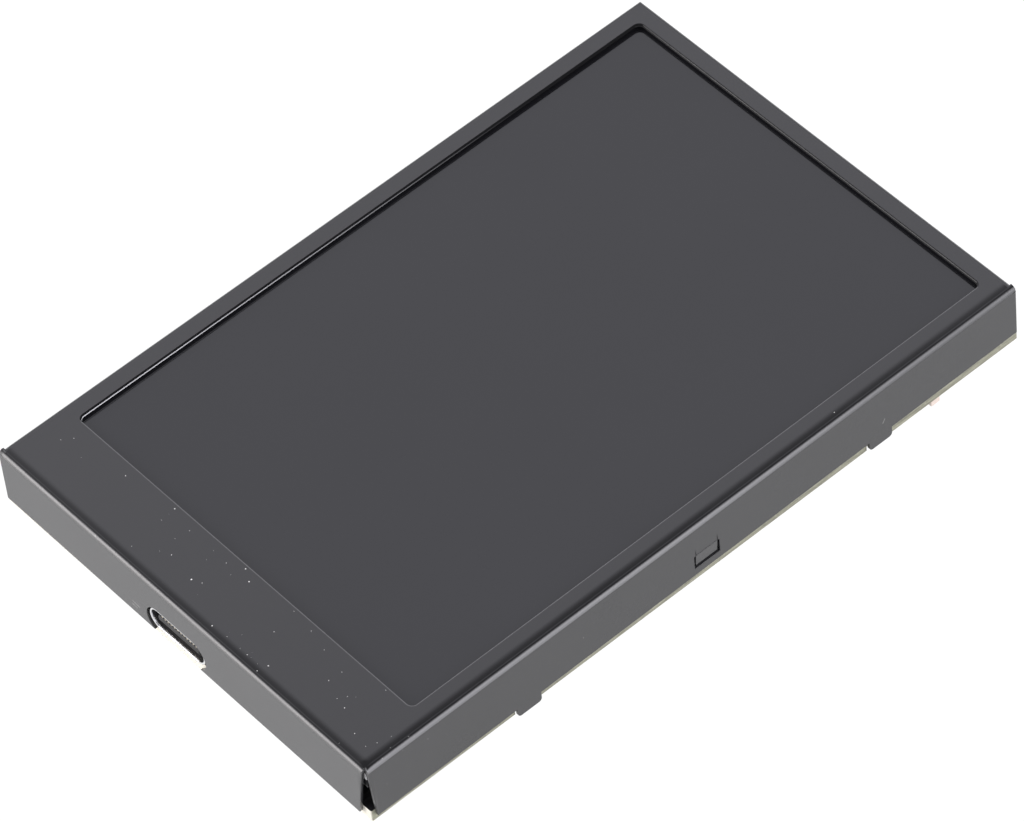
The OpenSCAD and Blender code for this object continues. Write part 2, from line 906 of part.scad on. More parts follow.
// Block with two end caps, the form of a chip capacitor or resistor
module end_capped(l, w, h, cap) {
    slab(about(0, l), about(0, w - 2 * skin), 0, h - skin);
    for (side = [-1, 1])
        slab(about(side * (l - cap) / 2, cap), about(0, w), 0, h);
}

// Ceramic capacitor number i
module capacitor(i) {
    color([0.78, 0.66, 0.52])
        under_board(cap_at[i - 1])
            end_capped(cap_l, cap_w, cap_h, cap_end);
}

// Chip resistor number i
module resistor(i) {
    color([0.15, 0.15, 0.16])
        under_board(res_at[i - 1])
            end_capped(res_l, res_w, res_h, res_end);
}

// Mounting nut number i, soldered to the board by its shank
module mounting_nut(i) {
    shank_h = board_t - shank_back;
    color([0.78, 0.65, 0.42])
    translate(corner(i - 1, nut_spacing_l, nut_spacing_w))
    difference() {
        union() {
            cylinder(d = nut_d, h = nut_h);
            cylinder(d = shank_d, h = nut_h + shank_h);
        }
        translate([0, 0, -cut])
            cylinder(d = nut_bore_d, h = nut_h + shank_h + 2 * cut);
    }
}

front_cover();
bezel_tape();
front_polariser();
upper_glass();
lower_glass();
driver_chip();
rear_polariser();
diffuser_film();
light_guide();
reflector_film();
panel_frame();
rear_tray();
lamp_strip();
for (i = [1:lamp_count])
    lamp(i);
display_tail();
for (i = [1:4])
    foam_pad(i);
circuit_board();
port_shell();
port_core();
port_contacts();
controller();
controller_leads();
memory_chip();
memory_leads();
crystal();
regulator();
regulator_leads();
boost_coil();
boost_driver();
boost_leads();
for (i = [1:len(cap_at)])
    capacitor(i);
for (i = [1:len(res_at)])
    resistor(i);
for (i = [1:4])
    mounting_nut(i);
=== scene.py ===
import math

import bmesh
import bpy
from mathutils import Matrix, Vector


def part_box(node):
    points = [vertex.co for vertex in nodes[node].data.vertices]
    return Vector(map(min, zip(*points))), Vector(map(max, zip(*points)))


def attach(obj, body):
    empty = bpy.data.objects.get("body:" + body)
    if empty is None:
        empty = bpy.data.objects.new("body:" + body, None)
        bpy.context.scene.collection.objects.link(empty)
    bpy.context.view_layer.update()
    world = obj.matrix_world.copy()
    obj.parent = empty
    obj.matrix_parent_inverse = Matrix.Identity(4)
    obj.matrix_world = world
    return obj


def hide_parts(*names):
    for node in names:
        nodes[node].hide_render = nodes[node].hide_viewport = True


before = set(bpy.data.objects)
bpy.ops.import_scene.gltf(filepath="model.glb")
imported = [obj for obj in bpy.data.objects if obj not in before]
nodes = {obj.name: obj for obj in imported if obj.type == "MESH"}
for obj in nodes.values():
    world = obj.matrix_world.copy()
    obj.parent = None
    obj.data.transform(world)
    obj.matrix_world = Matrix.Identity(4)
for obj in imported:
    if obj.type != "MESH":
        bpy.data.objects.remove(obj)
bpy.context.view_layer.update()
mm = 0.001


# Helpers for node trees.

def addNode(tree, kind, inputs=None, **settings):
    made = tree.nodes.new(kind)
    for name, value in settings.items():
        setattr(made, name, value)
    for name, value in (inputs or {}).items():
        if isinstance(value, bpy.types.NodeSocket):
            tree.links.new(value, made.inputs[name])
        else:
            made.inputs[name].default_value = value
    return made


def calc(tree, operation, a, b=0.0, c=0.0, clamp=False):
    made = addNode(tree, "ShaderNodeMath", {0: a, 1: b, 2: c}, operation=operation, use_clamp=clamp)
    return made.outputs[0]


def vectorCalc(tree, operation, a, b, output="Vector"):
    return addNode(tree, "ShaderNodeVectorMath", {0: a, 1: b}, operation=operation).outputs[output]


def chain(tree, operation, first, *others):
    for other in others:
        first = calc(tree, operation, first, other)
    return first


def product(tree, *values):
    return chain(tree, "MULTIPLY", *values)


def above(tree, value, level):
    return calc(tree, "GREATER_THAN", value, level)


def below(tree, value, level):
    return calc(tree, "LESS_THAN", value, level)


def between(tree, value, low, high):
    return product(tree, above(tree, value, low), below(tree, value, high))


def ramp(tree, value, low, high, start=0.0, end=1.0):
    # start below low, end above high, smooth in between
    made = addNode(tree, "ShaderNodeMapRange",
                   {"Value": value, "From Min": low, "From Max": high, "To Min": start, "To Max": end},
                   interpolation_type="SMOOTHSTEP")
    return made.outputs["Result"]


def mixColors(tree, share, first, second):
    made = tree.nodes.new("ShaderNodeMix")
    made.data_type = "RGBA"
    for socket, value in ((made.inputs[0], share), (made.inputs[6], first), (made.inputs[7], second)):
        if isinstance(value, bpy.types.NodeSocket):
            tree.links.new(value, socket)
        else:
            socket.default_value = value if len(value) == 4 else (*value, 1.0)
    return made.outputs[2]


def grey(level):
    return (level, level, level, 1.0)


def scaled(color, by):
    return tuple(min(c * by, 1.0) for c in color)


def place(tree):
    return tree.nodes.new("ShaderNodeTexCoord").outputs["Object"]


def faceNormal(tree):
    return parts(tree, tree.nodes.new("ShaderNodeNewGeometry").outputs["True Normal"])


def parts(tree, vector):
    return addNode(tree, "ShaderNodeSeparateXYZ", {"Vector": vector}).outputs


def joined(tree, x=0.0, y=0.0, z=0.0):
    return addNode(tree, "ShaderNodeCombineXYZ", {"X": x, "Y": y, "Z": z}).outputs[0]


def noise(tree, coords, size, detail=3.0):
    # size is the width of a typical blotch, in metres
    made = addNode(tree, "ShaderNodeTexNoise", {"Vector": coords, "Scale": 1 / size, "Detail": detail})
    return made.outputs["Fac"]


def cells(tree, coords, size):
    return addNode(tree, "ShaderNodeTexVoronoi", {"Vector": coords, "Scale": 1 / size}).outputs


def stretched(tree, coords, scale):
    return addNode(tree, "ShaderNodeMapping", {"Vector": coords, "Scale": scale}).outputs[0]


# Helpers for materials.

def newMaterial(name, color, roughness, metallic=0.0):
    made = bpy.data.materials.new(name)
    made.use_nodes = True
    tree = made.node_tree
    shader = tree.nodes["Principled BSDF"]
    shader.inputs["Base Color"].default_value = (*color, 1.0)
    shader.inputs["Roughness"].default_value = roughness
    shader.inputs["Metallic"].default_value = metallic
    return made, tree, shader, place(tree)


def tint(tree, shader, color, other, share):
    tree.links.new(mixColors(tree, share, color, other), shader.inputs["Base Color"])


def mottled(name, color, other, blotch, roughness, metallic=0.0, detail=3.0):
    # a material whose colour wanders between two tones
    made, tree, shader, coords = newMaterial(name, color, roughness, metallic)
    tint(tree, shader, color, other, noise(tree, coords, blotch, detail))
    return made, tree, shader, coords


def grainy(name, color, other, blotch, roughness, grain, depth, metallic=0.0):
    # a mottled material with a fine unevenness of this width and depth
    made, tree, shader, coords = mottled(name, color, other, blotch, roughness, metallic)
    bump(tree, shader, noise(tree, coords, grain), depth)
    return made


def uneven(tree, shader, share, least, most):
    # a roughness that wanders with a noise
    tree.links.new(ramp(tree, share, 0.3, 0.7, least, most), shader.inputs["Roughness"])


def bump(tree, shader, height, depth, strength=1.0):
    made = addNode(tree, "ShaderNodeBump", {"Height": height, "Distance": depth, "Strength": strength})
    tree.links.new(made.outputs["Normal"], shader.inputs["Normal"])


def paint(material, *names):
    # gives CAD nodes their own finish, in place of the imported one
    for name in names:
        nodes[name].data.materials.clear()
        nodes[name].data.materials.append(material)


# Helpers for meshes and pieces.

def newObject(name, data):
    made = bpy.data.objects.new(name, data)
    bpy.context.scene.collection.objects.link(made)
    return made


def newPiece(name, mesh, materials, slot, *replaced):
    piece = newObject(name, mesh)
    for material in materials:
        mesh.materials.append(material)
    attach(piece, "root")
    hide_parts(*replaced)
    return piece


def plainMesh(bm, name, smoothAngle):
    mesh = bpy.data.meshes.new(name)
    bm.to_mesh(mesh)
    bm.free()
    mesh.shade_smooth()
    mesh.set_sharp_from_angle(angle=math.radians(smoothAngle))
    return mesh


def finishMesh(bm, name, smoothAngle=35):
    bmesh.ops.remove_doubles(bm, verts=bm.verts, dist=1e-7)
    bmesh.ops.recalc_face_normals(bm, faces=bm.faces)
    return plainMesh(bm, name, smoothAngle)


def applied(piece):
    # a plain mesh of a piece, with its modifiers run and then removed
    mesh = bpy.data.meshes.new_from_object(piece.evaluated_get(bpy.context.evaluated_depsgraph_get()))
    piece.modifiers.clear()
    return mesh


def addBox(bm, low, high, soft, segments=2, material=0):
    # a box with rounded edges
    made = bmesh.ops.create_cube(bm, size=1.0)["verts"]
    for vert in made:
        for k in range(3):
            vert.co[k] = low[k] if vert.co[k] < 0 else high[k]
    faces = {face for vert in made for face in vert.link_faces}
    for face in faces:
        face.material_index = material
    edges = {edge for face in faces for edge in face.edges}
    bmesh.ops.bevel(bm, geom=list(edges), offset=soft, segments=segments, profile=0.6, affect="EDGES",
                    material=material)


def skin(bm, rings, closed=False, materials=None):
    # faces between neighbouring rings of points; closed joins the last ring to the first
    pairs = list(zip(rings, rings[1:])) + ([(rings[-1], rings[0])] if closed else [])
    for j, (here, there) in enumerate(pairs):
        for k in range(len(here)):
            n = (k + 1) % len(here)
            face = bm.faces.new((here[k], here[n], there[n], there[k]))
            face.material_index = materials[j] if materials else 0


def lathe(bm, profile, center, steps, material):
    # turns a closed profile of (radius, height) points about an upright axis
    rings = []
    for k in range(steps):
        angle = 2 * math.pi * k / steps
        rings.append([bm.verts.new((center.x + r * math.cos(angle), center.y + r * math.sin(angle), z))
                      for r, z in profile])
    skin(bm, rings, True, [material] * steps)


def outline(length, width, radius, inset, steps):
    # points of a rounded rectangle
    a, b = length / 2 - inset, width / 2 - inset
    r = min(max(radius - inset, 0.004 * mm), a, b)
    points = []
    for k, (su, sv) in enumerate(((1, 1), (-1, 1), (-1, -1), (1, -1))):
        for step in range(steps + 1):
            angle = math.pi / 2 * (k + step / steps)
            points.append((su * (a - r) + r * math.cos(angle), sv * (b - r) + r * math.sin(angle)))
    return points


def loft(bm, size, levels, spot, steps=4, tube=False, materials=None):
    # carries an outline of a (length, width, radius) through levels of (height, inset);
    # spot(u, v, height) is where a point of it lies; a tube's levels run round its wall
    length, width, radius = size
    rings = [[bm.verts.new(spot(u, v, height)) for u, v in outline(length, width, radius, inset, steps)]
             for height, inset in levels]
    if not tube:
        bm.faces.new(rings[0])
        bm.faces.new(rings[-1])
    skin(bm, rings, tube, materials)


# Helpers for Geometry Nodes.

def geometryTree(name, inputs):
    # a tree with an output mesh and named inputs
    tree = bpy.data.node_groups.new(name, "GeometryNodeTree")
    tree.interface.new_socket("Geometry", in_out="OUTPUT", socket_type="NodeSocketGeometry")
    for label, kind in inputs.items():
        tree.interface.new_socket(label, in_out="INPUT", socket_type="NodeSocket" + kind)
    return tree, tree.nodes.new("NodeGroupInput").outputs, tree.nodes.new("NodeGroupOutput")


def endTree(tree, shape, material, output):
    real = addNode(tree, "GeometryNodeRealizeInstances", {"Geometry": shape})
    dressed = addNode(tree, "GeometryNodeSetMaterial", {"Geometry": real.outputs[0], "Material": material})
    tree.links.new(dressed.outputs[0], output.inputs["Geometry"])


def rowOfCopies(tree, given, shape, x, z):
    # copies of a shape in a row along Y, with its middle at 0
    first = product(tree, calc(tree, "MULTIPLY_ADD", given["Count"], -0.5, 0.5), given["Pitch"])
    line = addNode(tree, "GeometryNodeMeshLine",
                   {"Count": given["Count"], "Start Location": joined(tree, x, first, z),
                    "Offset": joined(tree, y=given["Pitch"])})
    row = addNode(tree, "GeometryNodeInstanceOnPoints", {"Points": line.outputs[0], "Instance": shape})
    return row.outputs[0]


def grown(tree, name, values, start=None):
    # runs a tree on an empty mesh, or on start, and returns the plain mesh
    host = newObject(name, start or bpy.data.meshes.new(name))
    grow = host.modifiers.new("grow", "NODES")
    grow.node_group = tree
    for item in tree.interface.items_tree:
        if item.in_out == "INPUT" and item.name in values:
            grow[item.identifier] = values[item.name]
    mesh = applied(host)
    bpy.data.objects.remove(host)
    mesh.name = name
    return mesh


# Camera, floor and light.

view = {"place": (-0.27512, -0.37522, 0.55731), "turn": (39.828, 4.334, -41.407), "lens": 242.15}
light = {
    "tent": 1.0,
    "upper": 1.31,  # level of the tent from mid height up
    "upperFrom": (0.35, 0.6),  # heights of a direction between which the level rises
    "darkToward": (-0.1, -0.05, 1.0),
    "darkStart": 0.75,
    "darkFull": 0.80,
    "dark": 0.03,
    "skyColor": (0.975, 0.975, 1.05),
    # lamps: direction, size, watts and colour
    "left": ((-0.78, 0.52, 0.26), (0.36, 0.42), 4.6, (1.0, 0.97, 0.965)),
    "front": ((0.38, -0.82, 0.40), (0.34, 0.40), 1.88, (0.98, 0.97, 1.0)),
    "lampDistance": 0.6,
    "floorColor": 0.86,
    "floorWhite": 0.93,  # share of plain white in the floor as it is seen
    "floorLevel": 1.06,
}


def makeCamera():
    camera = newObject("camera", bpy.data.cameras.new("camera"))
    camera.data.sensor_width = 36
    camera.data.lens = view["lens"]
    camera.data.clip_start = 0.01
    camera.data.clip_end = 20
    camera.location = view["place"]
    camera.rotation_euler = [math.radians(a) for a in view["turn"]]
    bpy.context.scene.camera = camera


def seenDirectly(tree):
    # 1 for rays straight from the camera, or bent on their way through glass
    path = tree.nodes.new("ShaderNodeLightPath").outputs
    return path, calc(tree, "MAXIMUM", path["Is Camera Ray"], path["Is Transmission Ray"])


def makeWorld():
    world = bpy.data.worlds.new("tent")
    bpy.context.scene.world = world
    world.use_nodes = True
    tree = world.node_tree
    sky = tree.nodes["Background"]
    direction = tree.nodes.new("ShaderNodeTexCoord").outputs["Generated"]
    toward = Vector(light["darkToward"]).normalized()
    nearness = vectorCalc(tree, "DOT_PRODUCT", direction, toward, "Value")
    dark = ramp(tree, nearness, light["darkStart"], light["darkFull"], 1.0, light["dark"])
    level = ramp(tree, parts(tree, direction)["Z"], *light["upperFrom"], light["tent"], light["upper"])
    _, direct = seenDirectly(tree)
    shown = calc(tree, "MAXIMUM", product(tree, level, dark), direct)
    tree.links.new(shown, sky.inputs["Strength"])
    tree.links.new(mixColors(tree, direct, light["skyColor"], grey(1.0)), sky.inputs["Color"])


def makeFloor():
    bm = bmesh.new()
    bmesh.ops.create_grid(bm, x_segments=1, y_segments=1, size=4)
    floor = newObject("floor", finishMesh(bm, "floor"))
    made = bpy.data.materials.new("paleFloor")
    made.use_nodes = True
    tree = made.node_tree
    tree.nodes.clear()
    path, direct = seenDirectly(tree)
    shown = calc(tree, "MAXIMUM", direct, path["Is Glossy Ray"])
    share = product(tree, shown, light["floorWhite"])
    diffuse = addNode(tree, "ShaderNodeBsdfDiffuse", {"Color": grey(light["floorColor"])})
    white = addNode(tree, "ShaderNodeEmission", {"Color": grey(1.0), "Strength": light["floorLevel"]})
    both = addNode(tree, "ShaderNodeMixShader", {0: share, 1: diffuse.outputs[0], 2: white.outputs[0]})
    addNode(tree, "ShaderNodeOutputMaterial", {"Surface": both.outputs[0]})
    floor.data.materials.append(made)


def makeLamp(name, toward, size, watts, color):
    toward = Vector(toward).normalized()
    data = bpy.data.lights.new(name, "AREA")
    data.shape = "RECTANGLE"
    data.size, data.size_y = size
    data.energy = watts
    data.color = color
    lamp = newObject(name, data)
    lamp.location = toward * light["lampDistance"]
    lamp.rotation_euler = toward.to_track_quat("Z", "Y").to_euler()


makeCamera()
makeWorld()
makeFloor()
makeLamp("leftLamp", *light["left"])
makeLamp("frontLamp", *light["front"])
bpy.context.scene.view_settings.view_transform = "Standard"
print("camera, floor and light are in place")


# Folded cover: the CAD shell with finer folds, soft rims, a slight roll-off towards the near folds,
# and black paint with scratches and dust, painted highlights on folds and rims, painted shade on the
# roll-off.

cover = {
    "foldRows": 12,
    "foldRadius": 0.6 * mm,
    "sheet": 0.4 * mm,
    "arcReach": 0.08 * mm,  # a point this close to a fold's true arc is moved on to it
    "rim": 0.05 * mm,  # rounding of cut edges
    "windowRim": 0.17 * mm,  # rounding of the window's upper edge
    "windowRimDepth": 0.36 * mm,
    "cornerReach": 2.6 * mm,  # edges are not rounded this close to where two folds meet
    "cornerDepth": 0.3 * mm,
    "rollAngle": 9.0,  # slope of the border where the near folds start, in degrees
    "rollWidth": 0.85 * mm,
    "rollSteps": (0.0, 0.12, 0.25, 0.4, 0.55, 0.7, 0.85, 1.0),
    "rimLean": 18.0,  # most that the near rims' shading leans into the window, in degrees
    # the window lies further in than this, at the port's end and at the other three sides
    "meshInset": (4 * mm, 2 * mm),
    "paintInset": (5 * mm, 2.2 * mm),
    "roughness": 0.25,
    "foldRoughness": 0.4,
    "color": (0.034, 0.034, 0.0355),
    "rollOffShade": 0.45,  # painted shade: how much of the paint's grey is left on the roll-off
    # painted highlight along the folds: near the port's end, far from it, where it fades between, and on
    # the fold above the port
    "foldHighlightNear": (0.175, 0.175, 0.177),
    "foldHighlightFar": (0.10, 0.10, 0.102),
    "foldHighlightFade": (-5 * mm, 38 * mm),
    "portFoldHighlight": (0.10, 0.099, 0.098),
    # painted highlight on the window's near rims
    "rimHighlightColor": (0.10, 0.10, 0.102),
    # painted shade on the upper part of the far rims
    "farRimShadeColor": (0.012, 0.012, 0.0125),
    # the far rims' bare cut edge, with a painted highlight along the long rim that fades away from the
    # port's end
    "bareHighlightColor": (0.78, 0.78, 0.79),
    "bareHighlightFade": (-40 * mm, 28 * mm),
    # painted shade on the bare edge of the short far rim
    "shortBareShadeColor": (0.03, 0.03, 0.031),
    "bareDepth": 0.19 * mm,
    "scratchColor": (0.16, 0.16, 0.155),
}
dust = {
    "color": (0.85, 0.85, 0.82),
    "everywhere": 0.006,  # share of the cells that carry a speck
    "portEnd": 0.045,  # what is added at the port's end, beside the port and at the corner
    "besidePort": 0.22,
    "corner": 0.08,
    "portMiddle": -2 * mm,
    "portReach": 12 * mm,
    "cornerReach": 9 * mm,
    "onWalls": 0.25,
    # width of a cell and of a speck, share of the chance, and shift of the pattern
    "layers": ((1.3 * mm, 0.12 * mm, 0.5, 3.1 * mm), (0.8 * mm, 0.075 * mm, 1.0, 7.7 * mm),
               (0.55 * mm, 0.05 * mm, 1.0, 12.9 * mm)),
}
coverLow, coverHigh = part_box("front_cover")
foldAxis = coverHigh.z - cover["foldRadius"]
# the four walls: axis, way inwards, and place on the axis
coverSides = ((0, 1, coverLow.x), (0, -1, coverHigh.x), (1, 1, coverLow.y), (1, -1, coverHigh.y))


def scratch(tree, coords, start, end, width):
    # 1 along a short scratch between two points of a wall
    first, last = Vector(start), Vector(end)
    along = (last - first).normalized()
    offset = vectorCalc(tree, "SUBTRACT", coords, first)
    run = vectorCalc(tree, "DOT_PRODUCT", offset, along, "Value")
    clipped = calc(tree, "MINIMUM", calc(tree, "MAXIMUM", run, 0.0), (last - first).length)
    foot = addNode(tree, "ShaderNodeVectorMath", {0: along, "Scale": clipped}, operation="SCALE")
    away = vectorCalc(tree, "DISTANCE", offset, foot.outputs[0], "Value")
    return ramp(tree, away, width * 0.5, width, 1.0, 0.0)


def dustLayer(tree, coords, spacing, size, chance, shift):
    # round specks, at most one to a cell; chance is the share of cells that carry one
    layer = cells(tree, vectorCalc(tree, "ADD", coords, (shift, shift * 0.7, 0)), spacing)
    pick = addNode(tree, "ShaderNodeSeparateColor", {"Color": layer["Color"]}).outputs
    reach = calc(tree, "MULTIPLY_ADD", pick[1], size / spacing * 0.7, size / spacing * 0.3)
    near = below(tree, layer["Distance"], reach)
    return product(tree, near, below(tree, pick[0], chance))


def coverDust(tree, coords, upward):
    # dust lies on top, most of it near the port
    x, y, _ = parts(tree, coords)
    portEnd = ramp(tree, x, coverLow.x + 8 * mm, coverLow.x + 14 * mm, 1.0, 0.0)
    aside = calc(tree, "ABSOLUTE", calc(tree, "SUBTRACT", y, dust["portMiddle"]))
    besidePort = product(tree, portEnd, below(tree, aside, dust["portReach"]))
    corner = product(tree, portEnd, below(tree, y, coverLow.y + dust["cornerReach"]))
    chance = calc(tree, "MULTIPLY_ADD", portEnd, dust["portEnd"], dust["everywhere"])
    chance = calc(tree, "MULTIPLY_ADD", besidePort, dust["besidePort"], chance)
    chance = calc(tree, "MULTIPLY_ADD", corner, dust["corner"], chance)
    specks = chain(tree, "MAXIMUM", *(
        dustLayer(tree, coords, spacing, size, product(tree, chance, share), shift)
        for spacing, size, share, shift in dust["layers"]))
    shown = calc(tree, "MULTIPLY_ADD", upward, 1 - dust["onWalls"], dust["onWalls"])
    return product(tree, specks, shown)


def coverPaint():
    made, tree, shader, coords = newMaterial("coverPaint", cover["color"], cover["roughness"])
    low, high = coverLow, coverHigh
    broad = noise(tree, coords, 9 * mm, 2)
    x, y, z = parts(tree, coords)
    facing = faceNormal(tree)
    portInset, sideInset = cover["paintInset"]
    inside = product(tree, between(tree, x, low.x + portInset, high.x - sideInset),
                   between(tree, y, low.y + sideInset, high.y - sideInset),
                   above(tree, z, high.z - cover["windowRimDepth"]))
    outside = calc(tree, "SUBTRACT", 1.0, inside)

    # painted shade: the roll-off is darker; painted highlight: the bent strip along each fold is paler,
    # and it is less glossy
    color = mixColors(tree, broad, scaled(cover["color"], 0.93), scaled(cover["color"], 1.07))
    rolled = product(tree, outside, ramp(tree, facing["Z"], 0.6, 0.85),
                   ramp(tree, facing["Z"], 0.988, 0.9995, 1.0, 0.0))
    color = mixColors(tree, rolled, color, scaled(cover["color"], cover["rollOffShade"]))
    bent = product(tree, outside, ramp(tree, facing["Z"], 0.02, 0.30),
                 ramp(tree, facing["Z"], 0.72, 0.93, 1.0, 0.0),
                 above(tree, z, high.z - 0.9 * mm))
    # painted highlight along the folds, paler near the port's end than far from it
    foldHighlightTone = mixColors(tree, ramp(tree, x, *cover["foldHighlightFade"]), cover["foldHighlightNear"], cover["foldHighlightFar"])
    foldHighlightTone = mixColors(tree, below(tree, facing["X"], -0.1), foldHighlightTone, cover["portFoldHighlight"])
    color = mixColors(tree, bent, color, foldHighlightTone)

    # painted highlight: the window's near rims are a little paler too
    nearRim = above(tree, calc(tree, "ADD", facing["X"], facing["Y"]), 0.02)
    rim = product(tree, inside, nearRim, ramp(tree, facing["Z"], 0.02, 0.2),
                ramp(tree, facing["Z"], 0.985, 0.998, 1.0, 0.0))
    color = mixColors(tree, rim, color, cover["rimHighlightColor"])

    # painted shade: the far rims are darker than the paint at the top; below, the sheet's bare edge shows,
    # with a painted highlight along the long rim, brightest at the port's end, and painted shade along the
    # short rim
    farY, farX = (below(tree, facing[k], -0.1) for k in ("Y", "X"))
    farRim = product(tree, inside, calc(tree, "MAXIMUM", farY, farX))
    color = mixColors(tree, farRim, color, cover["farRimShadeColor"])
    bare = product(tree, inside, below(tree, z, high.z - cover["bareDepth"]))
    # painted highlight on the bare edge of the long far rim, fading away from the port's end
    bareLongHighlight = product(tree, bare, farY, ramp(tree, x, *cover["bareHighlightFade"], 1.0, 0.0))
    color = mixColors(tree, bareLongHighlight, color, cover["bareHighlightColor"])
    # painted shade on the bare edge of the short far rim
    color = mixColors(tree, product(tree, bare, farX), color, cover["shortBareShadeColor"])

    scratches = (((low.x, 7.7 * mm, 4.8 * mm), (low.x, 6.7 * mm, 4.6 * mm), 0.09 * mm),
                 ((low.x, 7.9 * mm, 4.2 * mm), (low.x, 7.1 * mm, 4.1 * mm), 0.07 * mm),
                 ((25.2 * mm, low.y, 5.1 * mm), (25.5 * mm, low.y, 5.6 * mm), 0.08 * mm))
    marks = chain(tree, "MAXIMUM", *(scratch(tree, coords, *values) for values in scratches))
    color = mixColors(tree, marks, color, cover["scratchColor"])
    specks = coverDust(tree, coords, above(tree, facing["Z"], 0.9))
    color = mixColors(tree, specks, color, dust["color"])
    tree.links.new(color, shader.inputs["Base Color"])

    smooth, dull = cover["roughness"], cover["foldRoughness"]
    rough = calc(tree, "MULTIPLY_ADD", bent, dull - smooth,
                 ramp(tree, broad, 0.3, 0.7, smooth - 0.015, smooth + 0.02))
    tree.links.new(rough, shader.inputs["Roughness"])
    # the far rims' cut edge throws back less light than paint does
    lost = calc(tree, "MULTIPLY_ADD", farX, 0.3, product(tree, farY, 0.5))
    lost = calc(tree, "MULTIPLY", inside, lost, clamp=True)
    tree.links.new(calc(tree, "SUBTRACT", 0.5, lost, clamp=True), shader.inputs["Specular IOR Level"])
    height = calc(tree, "MULTIPLY_ADD", specks, 3.0, noise(tree, coords, 0.22 * mm, 2))
    bump(tree, shader, height, 0.003 * mm, 0.5)
    return made


def inWindow(co):
    portInset, sideInset = cover["meshInset"]
    return (coverLow.x + portInset < co.x < coverHigh.x - sideInset
            and coverLow.y + sideInset < co.y < coverHigh.y - sideInset)


def atCorner(co):
    return co.z > foldAxis - cover["cornerDepth"] and all(
        min(co[k] - coverLow[k], coverHigh[k] - co[k]) < cover["cornerReach"] for k in (0, 1))


def cutFolds(bm):
    # cuts the shell along the rows of its folds, and along the roll-off beside them
    radius, inner = cover["foldRadius"], cover["foldRadius"] - cover["sheet"]

    def cut(point, normal):
        faces = [face for face in bm.faces if not (normal[2] and inWindow(face.calc_center_median()))]
        edges = {edge for face in faces for edge in face.edges}
        verts = {vert for face in faces for vert in face.verts}
        bmesh.ops.bisect_plane(bm, geom=faces + list(edges) + list(verts), dist=2e-7, plane_co=point,
                               plane_no=normal)

    for row in range(cover["foldRows"]):
        angle = math.pi / 2 * row / cover["foldRows"]
        cut((0, 0, foldAxis + radius * math.sin(angle)), (0, 0, 1))
        if row % 3 == 0:
            cut((0, 0, foldAxis + inner * math.sin(angle)), (0, 0, 1))
    for step in cover["rollSteps"]:
        inset = radius + cover["rollWidth"] * step
        for k, side, edge in coverSides:
            point, normal = [0, 0, 0], [0, 0, 0]
            point[k], normal[k] = edge + side * inset, 1
            cut(point, normal)

    # moves each point of a fold on to its true arc
    for vert in bm.verts:
        up = vert.co.z - foldAxis
        for k, side, edge in coverSides:
            inset = side * (vert.co[k] - edge)
            for r in (radius, inner):
                arc = radius - math.sqrt(max(r * r - up * up, 0))
                if 0 <= up <= r * 0.9999 and abs(inset - arc) < cover["arcReach"]:
                    vert.co[k] = edge + side * arc


def rollOff(co):
    # where a point of the skin goes once the border rolls off, its normal there, and its share
    # of the way from the inner skin (0) to the outer one (1)
    radius, width = cover["foldRadius"], cover["rollWidth"]
    sink, tilt, fold = 0.0, Vector((0, 0, 1)), None
    for k, side, edge in coverSides:
        roll = math.radians(cover["rollAngle"]) if side == 1 else 0.0
        slope = math.tan(roll)
        inset = side * (co[k] - edge)
        share = 1 - (inset - radius) / width
        if inset < radius - 1e-8:
            if co.z > foldAxis - 1e-7:
                newAxis = coverHigh.z - slope * width * 2 / 3 - radius * math.cos(roll)
                fold = (k, side, edge, roll, newAxis)
        elif share > 0:
            sink += slope * width * (share ** 2 - share ** 3 / 3)
            tilt[k] -= side * slope * (2 * share - share ** 2)
    moved = Vector(co)
    if fold:
        k, side, edge, roll, newAxis = fold
        across, up = radius - side * (co[k] - edge), co.z - foldAxis
        skin = min(max((math.hypot(across, up) - (radius - cover["sheet"])) / cover["sheet"], 0), 1)
        before = math.atan2(max(up, 0), max(across, 0))
        after = before * (1 - roll / (math.pi / 2))
        moved[k] += skin * side * radius * (math.cos(before) - math.cos(after))
        rise = newAxis - foldAxis + radius * (math.sin(after) - math.sin(before)) - sink * math.sin(after)
        moved.z += skin * rise
        tilt = Vector((0, 0, math.sin(after)))
        tilt[k] = -side * math.cos(after)
    else:
        skin = min(max((co.z - coverHigh.z + cover["sheet"]) / cover["sheet"], 0), 1)
        moved.z -= sink * skin
    return moved, tilt.normalized(), skin


